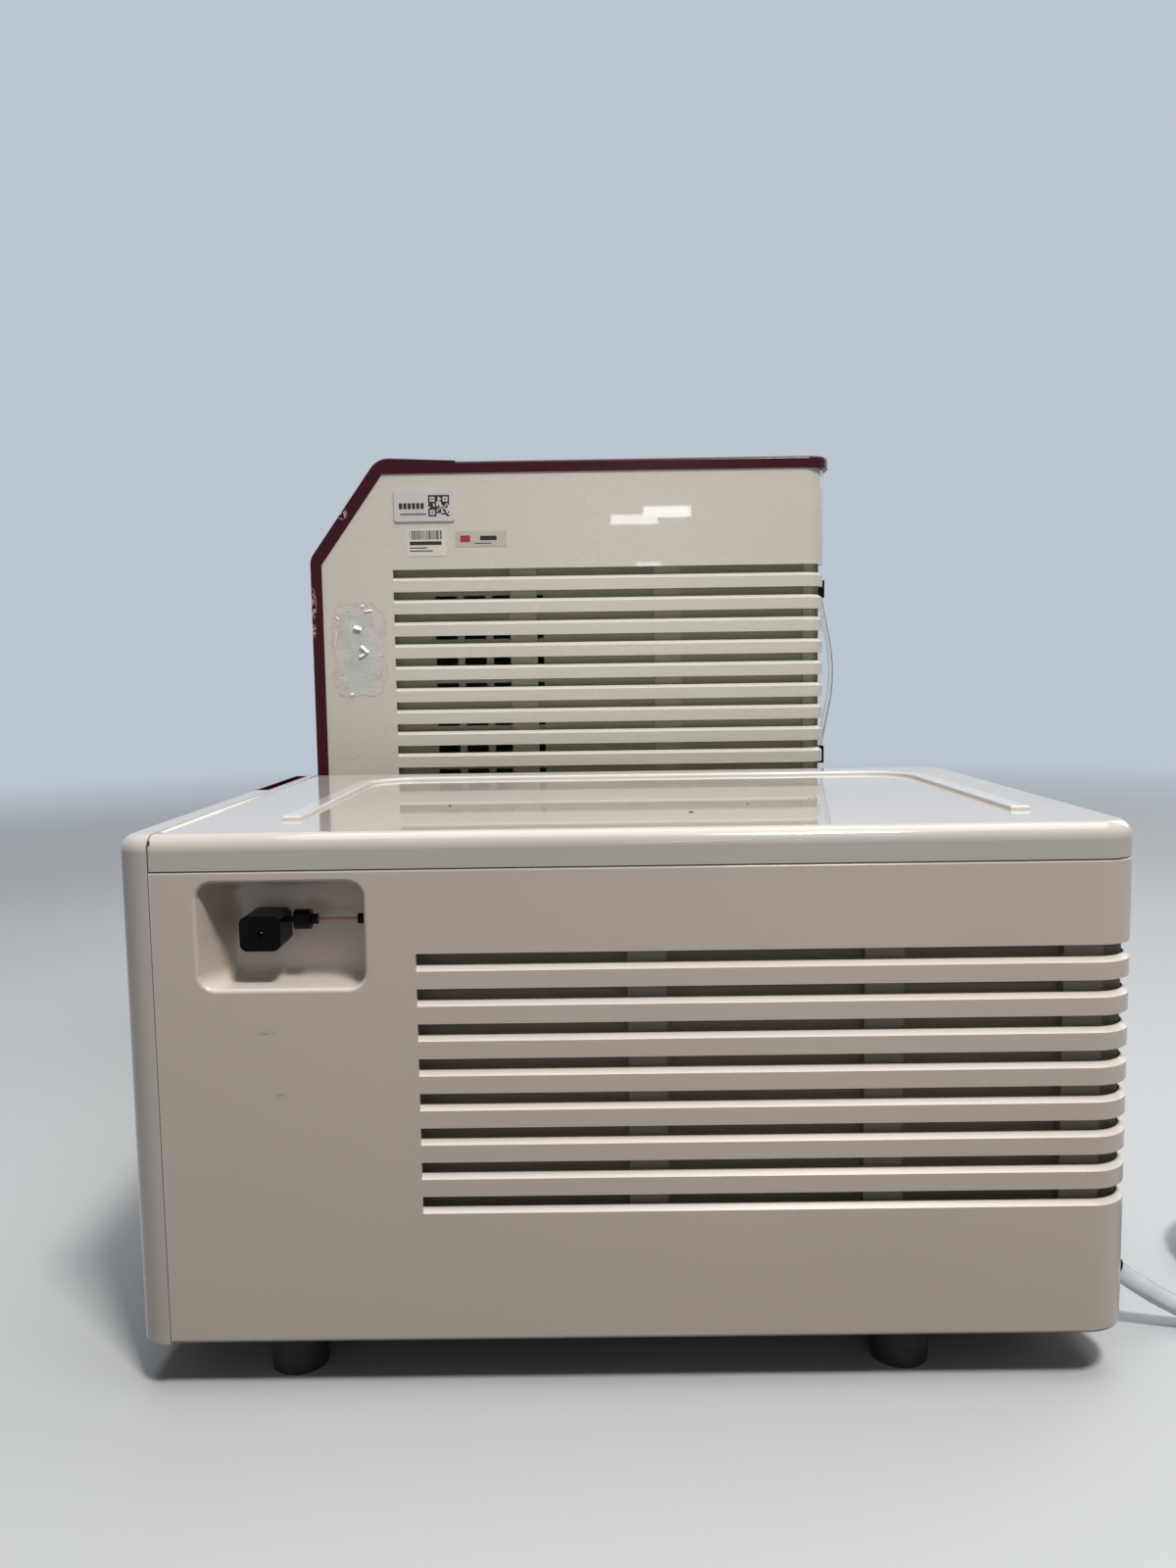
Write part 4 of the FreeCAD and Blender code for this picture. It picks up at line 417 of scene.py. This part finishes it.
def block_code(form, corner, cell, draw):
    """A square of dark cells that says nothing, with a ring and a dot in three of its corners."""
    cells, mark = 13, 5
    x, y0, z0 = corner
    for row in range(cells):
        for column in range(cells):
            low, high = row < mark, row >= cells - mark
            near, far = column < mark, column >= cells - mark
            if (low and near) or (high and near) or (high and far):
                up = row if low else row - cells + mark
                across = column if near else column - cells + mark
                ring = up in (0, mark - 1) or across in (0, mark - 1)
                dark = ring or (up == 2 and across == 2)
            else:
                dark = draw.random() < 0.55
            if dark:
                y, z = y0 + column * cell, z0 + row * cell
                plate(form, (x, y, z), (x + 0.00006, y + cell, z + cell), 1)


def soften(piece, width, segments=2):
    """Rounds a piece's edges a little."""
    bevel = piece.modifiers.new("edges", "BEVEL")
    bevel.width, bevel.segments, bevel.limit_method = width, segments, "ANGLE"
    return piece


def glue_residue():
    """What is left of a torn label: an uneven skin of glue with a ragged rim, and torn white scraps."""
    y0, y1, z0, z1 = -0.2575, -0.2050, 0.3880, 0.4785
    grey_y, grey_z = -0.2315, 0.4305
    step = 0.0006
    columns, rows = int((y1 - y0) / step), int((z1 - z0) / step)
    form = bmesh.new()

    def depth(y, z):
        across = 2 * (y - y0) / (y1 - y0) - 1
        up = 2 * (z - z0) / (z1 - z0) - 1
        edge = 1.0 - (abs(across) ** 5 + abs(up) ** 5) ** 0.2
        ragged = noise.fractal(Vector((y * 70, z * 70, 3.0)), 0.6, 2.2, 5)
        inside = edge + 0.13 * ragged - 0.08
        if inside < 0:
            return 0.0
        skin = noise.fractal(Vector((y * 240, z * 240, 1.0)), 0.7, 2.1, 4)
        rim = 0.00022 * max(0.0, 1 - inside / 0.05)
        return 0.00012 + 0.00007 * max(0.0, 0.5 + skin) + rim

    grid = {}
    for column in range(columns + 1):
        for row in range(rows + 1):
            y, z = y0 + column * step, z0 + row * step
            thick = depth(y, z)
            if thick:
                grid[column, row] = form.verts.new((PANEL + thick, y, z))
    for column, row in list(grid):
        square = [grid.get(spot) for spot in ((column, row), (column + 1, row), (column + 1, row + 1),
                                              (column, row + 1))]
        if all(square):
            face = form.faces.new(square)
            face.smooth = True
            y, z = y0 + column * step - grey_y, z0 + row * step - grey_z
            ragged = noise.fractal(Vector((y * 120, z * 120, 5.0)), 0.7, 2.1, 5)
            face.material_index = int(abs(y) < 0.0140 + 0.004 * ragged and abs(z) < 0.0350 + 0.004 * ragged)
    loose = [vert for vert in form.verts if not vert.link_faces]
    bmesh.ops.delete(form, geom=loose, context="VERTS")
    make("glue_residue", finish_mesh("glue_residue", form), "housing", "unit_white",
         residue_look("glue_film", (0.58, 0.53, 0.48)), residue_look("glue_grey", (0.54, 0.54, 0.51)))

    scraps = bmesh.new()
    for y, z, wide, tall, turn, lift in ((-0.2317, 0.4538, 0.0070, 0.0034, -0.35, 0.0024),
                                         (-0.2260, 0.4345, 0.0090, 0.0028, -0.75, 0.0020),
                                         (-0.2285, 0.4290, 0.0065, 0.0026, 0.50, 0.0016),
                                         (-0.2270, 0.4735, 0.0030, 0.0018, 0.30, 0.0008),
                                         (-0.2220, 0.4690, 0.0075, 0.0016, 0.10, 0.0008),
                                         (-0.2500, 0.4625, 0.0034, 0.0010, -0.90, 0.0005),
                                         (-0.2520, 0.4440, 0.0130, 0.0013, 1.45, 0.0006),
                                         (-0.2390, 0.3935, 0.0028, 0.0016, 0.20, 0.0008)):
        scrap(scraps, (y, z), (wide, tall), turn, lift)
    make("torn_scraps", finish_mesh("torn_scraps", scraps), "housing", "unit_white",
         paper("torn_paper", (0.86, 0.86, 0.84), 0.6))


def scrap(form, place, size, turn, lift):
    """A torn bit of paper that curls away from the panel at its lower edge."""
    across, up = 5, 4
    rows = []
    for row in range(up + 1):
        line = []
        for column in range(across + 1):
            ragged = 0.16 * noise.noise(Vector((column * 1.3 + place[0] * 900, row * 1.7, place[1] * 900)))
            y = size[0] * (column / across - 0.5 + ragged * 0.4)
            z = size[1] * (row / up - 0.5 + ragged)
            spot = Vector((y * math.cos(turn) - z * math.sin(turn), y * math.sin(turn) + z * math.cos(turn)))
            out = 0.0004 + lift * (1 - row / up) ** 2
            line.append(form.verts.new((PANEL + out, place[0] + spot.x, place[1] + spot.y)))
        rows.append(line)
    for low, high in zip(rows, rows[1:]):
        for column in range(across):
            form.faces.new((low[column], low[column + 1], high[column + 1], high[column])).smooth = True


def cover_rim(looks):
    """A low rounded rim on the cover, along the seam behind the drawer's front."""
    low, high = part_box("collector_cover")
    inset, wide, tall, sides = 0.011, 0.0050, 0.0008, 8
    near, foot = low.y + 0.0012, COVER_TOP - 0.0001
    form = bmesh.new()
    ends = []
    for x in (low.x + inset, high.x - inset):
        end = []
        for step in range(sides + 1):
            angle = math.pi * step / sides
            y = near + wide * (0.5 - 0.5 * math.cos(angle))
            end.append(form.verts.new((x, y, foot + tall * math.sin(angle))))
        ends.append(end)
    for step in range(sides):
        form.faces.new((ends[0][step], ends[1][step], ends[1][step + 1], ends[0][step + 1])).smooth = True
    form.faces.new((ends[0][0], ends[0][-1], ends[1][-1], ends[1][0]))
    for end in ends:
        form.faces.new(end)
    make("cover_rim", finish_mesh("cover_rim", form), "housing", "cover_white", looks["cover_white"])


def crumbs(looks):
    """A few specks of grit on the collector's cover, and two dark specks in the seam of the drawer's front.
    """
    draw = random.Random(11)
    form = bmesh.new()
    reach = 0.003
    spots = [(0.357, -0.115), (0.372, 0.082), (0.340, 0.128),
             (0.300, -0.160), (0.410, 0.040), (0.280, 0.020)]
    for x, y in spots:
        for grain in range(draw.choice((1, 2, 3))):
            size = draw.uniform(0.0003, 0.0009)
            aside, along = draw.uniform(-reach, reach), draw.uniform(-reach, reach)
            shift = Vector((x + aside, y + along, COVER_TOP + size * 0.3))
            flat = Matrix.Diagonal((size * 1.6, size, size * 0.5, 1))
            turn = Matrix.Rotation(draw.uniform(0, 3.1), 4, "Z") @ flat
            made = bmesh.ops.create_icosphere(form, subdivisions=1, radius=1.0)
            for vert in made["verts"]:
                vert.co *= draw.uniform(0.7, 1.2)
                vert.co = shift + (turn @ vert.co)
    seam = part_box("drawer_front")[1].y + 0.0012
    for height, tall in ((0.3106, 0.0011), (0.3195, 0.0022)):
        centre, stretch = Vector((SIDE - 0.0012, seam, height)), Matrix.Diagonal((0.0011, 0.0008, tall))
        made = bmesh.ops.create_icosphere(form, subdivisions=1, radius=1.0)
        for vert in made["verts"]:
            vert.co = centre + stretch @ vert.co
    make("cover_grit", finish_mesh("cover_grit", form), "housing", "cover_white",
         grained("grit", (0.05, 0.04, 0.03), 0.8))


def ferrule():
    """A small metal seat inside the inlet block's hole."""
    low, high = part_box("inlet_block")
    radius, sunk = 0.0012, 0.0040
    centre = Vector((high.x - sunk, (low.y + high.y) / 2, (low.z + high.z) / 2))
    form = bmesh.new()
    made = bmesh.ops.create_icosphere(form, subdivisions=2, radius=radius)
    for vert in made["verts"]:
        vert.co += centre
    for face in form.faces:
        face.smooth = True
    make("inlet_ferrule", finish_mesh("inlet_ferrule", form), "housing", "steel",
         brushed("ferrule_steel", (0.75, 0.75, 0.74), 0.15, (1, 1, 1)))


def screw(form, centre, outward, radius=0.003):
    """A low domed screw head with a hexagon recess."""
    turn = Vector(outward).to_track_quat("Z", "Y").to_matrix().to_4x4()
    place = Matrix.Translation(centre) @ turn
    rings = [(radius, 0.0), (radius, radius * 0.30),
             (radius * 0.82, radius * 0.52), (radius * 0.50, radius * 0.60)]
    sides, loops = 12, []
    for out, up in rings:
        loops.append([form.verts.new(place @ Vector((out * math.cos(2 * math.pi * k / sides),
                                                     out * math.sin(2 * math.pi * k / sides), up)))
                      for k in range(sides)])
    for depth in (radius * 0.60, radius * 0.12):
        hexed = []
        for k in range(sides):
            angle = 2 * math.pi * k / sides
            flat = radius * 0.42 / math.cos((angle + math.pi / 6) % (math.pi / 3) - math.pi / 6)
            spot = Vector((flat * math.cos(angle), flat * math.sin(angle), depth))
            hexed.append(form.verts.new(place @ spot))
        loops.append(hexed)
    for low, high in zip(loops, loops[1:]):
        for k in range(sides):
            face = form.faces.new((low[k], low[(k + 1) % sides], high[(k + 1) % sides], high[k]))
            face.smooth = low is loops[1]
    form.faces.new(loops[-1])


def screws(looks):
    """Screws at the rear panels' upper and lower edges and at the corners of the fans."""
    form = bmesh.new()
    for node in ("collector_rear_panel", "main_rear_panel"):
        low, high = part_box(node)
        inset = 0.009
        for x in (low.x + inset, (low.x + high.x) / 2, high.x - inset):
            for z in (low.z + inset, high.z - inset):
                screw(form, (x, high.y, z), (0, 1, 0))
    for node, rear in (("collector_fan_frame", REAR_COLLECTOR), ("main_fan_frame", REAR_MAIN)):
        low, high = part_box(node)
        inset = 0.004
        for x in (low.x + inset, high.x - inset):
            for z in (low.z + inset, high.z - inset):
                screw(form, (x, rear, z), (0, 1, 0), 0.0034)
    make("panel_screws", finish_mesh("panel_screws", form), "housing", "steel", looks["steel"])


def switch_marks(looks):
    """A bar and a ring on each power switch."""
    for body, node in (("collector_switch", "collector_rocker"), ("main_switch", "main_rocker")):
        low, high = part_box(node)
        x, middle = (low.x + high.x) / 2, (low.z + high.z) / 2
        form = bmesh.new()
        tilt = 0.21
        for side in (-1, 1):
            lean = -tilt if side < 0 else 0.0
            base = Vector((x, high.y - (0.0021 if side > 0 else 0.00105), middle + side * 0.005))
            turn = Matrix.Translation(base) @ Matrix.Rotation(lean, 4, "X")
            if side > 0:
                spots = [(-0.0003, -0.0015), (0.0003, -0.0015), (0.0003, 0.0015), (-0.0003, 0.0015)]
                form.faces.new([form.verts.new(turn @ Vector((a, 0.00004, b))) for a, b in spots])
            else:
                inner, outer, sides = 0.0011, 0.0016, 20
                rims = [[form.verts.new(turn @ Vector((r * math.cos(2 * math.pi * k / sides), 0.00006,
                                                       r * math.sin(2 * math.pi * k / sides))))
                         for k in range(sides)] for r in (inner, outer)]
                for k in range(sides):
                    after = (k + 1) % sides
                    form.faces.new((rims[0][k], rims[1][k], rims[1][after], rims[0][after]))
        make(node + "_marks", finish_mesh(node + "_marks", form), body, "dark_plastic",
             paper(node + "_mark_white", (0.75, 0.75, 0.74)))


# The drain hose: its route is the source's, in millimetres, from the elbow down to the bench
HOSE_RADIUS, COIL_MEAN, COIL_Y, COIL_X = 6.0, 66.0, 452.0, 364.0
DROP = math.radians(37.0)
HOSE_START = (430.0, 289.5 + 12.0 * math.cos(DROP), 46.0 - 12.0 * math.sin(DROP))
HOSE_LOW = HOSE_RADIUS + 0.1
HOSE_TOUCH = HOSE_START[1] + (HOSE_START[2] - HOSE_LOW) / math.tan(DROP)
HOSE_END = COIL_Y - 8.0


def hose_points():
    """The straight part's points, then the coil's turns, each one a hose thickness above the last."""
    points = [HOSE_START, (430.0, HOSE_TOUCH, HOSE_LOW), (434.0, (HOSE_TOUCH + HOSE_END) / 2, HOSE_LOW),
              (430.0, HOSE_END, HOSE_LOW)]
    turns, each = 3.2, 14
    for step in range(1, int(turns * each) + 1):
        angle = 2 * math.pi * step / each
        rise = max(0.0, step - 2) / each * 2 * HOSE_RADIUS * 1.05
        wander = 0.9 * math.sin(angle * 0.7)
        points.append((COIL_X + (COIL_MEAN + wander) * math.cos(angle),
                       COIL_Y + (COIL_MEAN + wander) * math.sin(angle), HOSE_LOW + rise))
    return [Vector(point) * MM for point in points]


def spline_length(curve_object):
    """The length of a curve's own line, read without its thickness."""
    depth, curve_object.data.bevel_depth = curve_object.data.bevel_depth, 0.0
    line = bpy.data.meshes.new_from_object(curve_object.evaluated_get(bpy.context.evaluated_depsgraph_get()))
    curve_object.data.bevel_depth = depth
    spots = [vert.co for vert in line.vertices]
    return sum((b - a).length for a, b in zip(spots, spots[1:]))


def drain_hose(looks):
    points = hose_points()
    curve = bpy.data.curves.new("drain_hose_line", "CURVE")
    curve.dimensions = "3D"
    curve.bevel_depth = 1.0
    curve.bevel_resolution = 6
    curve.resolution_u = 10
    curve.use_fill_caps = True
    spline = curve.splines.new("NURBS")
    spline.points.add(len(points) - 1)
    for point, place in zip(spline.points, points):
        point.co = (*place, 1.0)
        point.radius = HOSE_RADIUS * MM
    spline.order_u = 3
    spline.use_endpoint_u = True
    hose = bpy.data.objects.new("drain_hose_line", curve)
    bpy.context.scene.collection.objects.link(hose)
    curve.materials.append(looks["hose_clear"])
    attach(hose, "housing")
    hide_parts("drain_hose", "drain_hose_coil")
    bpy.context.view_layer.update()
    spline_length(hose)
    return hose


# Stage, lamps and camera

def floor_and_world():
    """A plain pale floor that fades into a pale background, and an even world light."""
    size = 14.0
    form = bmesh.new()
    bmesh.ops.create_grid(form, x_segments=1, y_segments=1, size=size)
    mesh = bpy.data.meshes.new("stage_floor")
    form.to_mesh(mesh)
    form.free()
    floor = bpy.data.objects.new("stage_floor", mesh)
    bpy.context.scene.collection.objects.link(floor)
    pale = (0.50, 0.56, 0.63, 1.0)
    material = bpy.data.materials.new("stage_floor")
    material.use_nodes = True
    tree = material.node_tree
    tree.nodes.clear()
    surface = tree.nodes.new("ShaderNodeBsdfDiffuse")
    glow = tree.nodes.new("ShaderNodeEmission")
    glow.inputs["Color"].default_value = pale
    light, dark = (0.52, 0.54, 0.56, 1.0), (0.05, 0.05, 0.055, 1.0)
    path = tree.nodes.new("ShaderNodeLightPath")
    tone = tree.nodes.new("ShaderNodeMix")
    tone.data_type = "RGBA"
    tone.inputs[6].default_value, tone.inputs[7].default_value = light, dark
    tree.links.new(path.outputs["Is Diffuse Ray"], tone.inputs[0])
    tree.links.new(tone.outputs[2], surface.inputs["Color"])
    place = tree.nodes.new("ShaderNodeTexCoord")
    far = tree.nodes.new("ShaderNodeVectorMath")
    far.operation = "LENGTH"
    tree.links.new(place.outputs["Object"], far.inputs[0])
    fade = tree.nodes.new("ShaderNodeMapRange")
    fade.interpolation_type = "SMOOTHSTEP"
    fade.inputs["From Min"].default_value, fade.inputs["From Max"].default_value = 1.2, 4.5
    tree.links.new(far.outputs["Value"], fade.inputs["Value"])
    blend = tree.nodes.new("ShaderNodeMixShader")
    tree.links.new(fade.outputs["Result"], blend.inputs[0])
    tree.links.new(surface.outputs[0], blend.inputs[1])
    tree.links.new(glow.outputs[0], blend.inputs[2])
    out = tree.nodes.new("ShaderNodeOutputMaterial")
    tree.links.new(blend.outputs[0], out.inputs["Surface"])
    mesh.materials.append(material)

    world = bpy.data.worlds.new("studio")
    bpy.context.scene.world = world
    world.use_nodes = True
    tree = world.node_tree
    tree.nodes.clear()
    seen, even = tree.nodes.new("ShaderNodeBackground"), tree.nodes.new("ShaderNodeBackground")
    seen.inputs["Color"].default_value, seen.inputs["Strength"].default_value = pale, 1.0
    even.inputs["Color"].default_value, even.inputs["Strength"].default_value = (0.93, 0.96, 1.0, 1.0), 0.15
    path = tree.nodes.new("ShaderNodeLightPath")
    bright = tree.nodes.new("ShaderNodeMath")
    bright.operation = "MAXIMUM"
    tree.links.new(path.outputs["Is Camera Ray"], bright.inputs[0])
    either = tree.nodes.new("ShaderNodeMath")
    either.operation = "MAXIMUM"
    tree.links.new(path.outputs["Is Glossy Ray"], either.inputs[0])
    tree.links.new(path.outputs["Is Transmission Ray"], either.inputs[1])
    tree.links.new(either.outputs[0], bright.inputs[1])
    blend = tree.nodes.new("ShaderNodeMixShader")
    tree.links.new(bright.outputs[0], blend.inputs[0])
    tree.links.new(even.outputs[0], blend.inputs[1])
    tree.links.new(seen.outputs[0], blend.inputs[2])
    out = tree.nodes.new("ShaderNodeOutputWorld")
    tree.links.new(blend.outputs[0], out.inputs["Surface"])


def lamp(name, place, aim, size, power, colour=(1.0, 1.0, 1.0)):
    light = bpy.data.lights.new(name, "AREA")
    light.shape, light.size, light.size_y = "RECTANGLE", *size
    light.energy, light.color = power, colour
    holder = bpy.data.objects.new(name, light)
    bpy.context.scene.collection.objects.link(holder)
    holder.location = place
    holder.rotation_mode = "QUATERNION"
    holder.rotation_quaternion = (Vector(aim) - Vector(place)).to_track_quat("-Z", "Y")


def lamps():
    """A wide ceiling light, a small one that casts the shadows, and strips that the tall unit mirrors."""
    lamp("ceiling", (0.1, 0.5, 2.9), (0.1, 0.5, 0), (2.8, 2.8), 62.0, (1.0, 1.0, 1.0))
    lamp("room", (1.65, 0.6, 2.8), (0.4, 0, 0.2), (0.4, 0.4), 65.0, (1.0, 0.97, 0.93))
    lamp("room_rear", (-1.8, 2.6, 1.8), (0, 0, 0.3), (1.6, 1.6), 10.0)
    for name, place, size, power in (("tube_near", (2.25, 0.10, 0.826), (0.13, 0.026), 0.22),
                                     ("tube_far", (2.25, 0.19, 0.845), (0.13, 0.030), 0.30),
                                     ("tube_low", (2.25, 0.14, 0.70), (0.07, 0.02), 0.06)):
        lamp(name, place, (0.05, place[1], place[2]), size, power)


def camera():
    """The photograph's camera: level with the middle of the unit, looking along -X and a little down."""
    place = (1.128994, -0.0175, 0.410)
    pitch, yaw, roll = math.radians(5.403), math.radians(-0.355), math.radians(-0.858)
    focal, long_side, sensor = 1203.0, 1600.0, 36.0
    ahead = Vector((-math.cos(pitch) * math.cos(yaw), math.cos(pitch) * math.sin(yaw), -math.sin(pitch)))
    level = Vector((math.sin(yaw), math.cos(yaw), 0.0))
    upright = level.cross(ahead)
    right = level * math.cos(roll) + upright * math.sin(roll)
    up = upright * math.cos(roll) - level * math.sin(roll)
    data = bpy.data.cameras.new("photo_camera")
    data.sensor_width, data.lens = sensor, focal / long_side * sensor
    data.clip_start, data.clip_end = 0.05, 60.0
    holder = bpy.data.objects.new("photo_camera", data)
    bpy.context.scene.collection.objects.link(holder)
    turn = Matrix((right, up, -ahead)).transposed().to_4x4()
    holder.matrix_world = Matrix.Translation(place) @ turn
    bpy.context.scene.camera = holder


def main():
    bpy.context.scene.view_settings.view_transform = "Standard"
    camera()
    looks = slot_looks()
    dress(looks)
    drain_hose(looks)
    tag_pieces(looks)
    glue_residue()
    cover_rim(looks)
    crumbs(looks)
    ferrule()
    screws(looks)
    switch_marks(looks)
    floor_and_world()
    lamps()
    bpy.context.view_layer.update()


main()
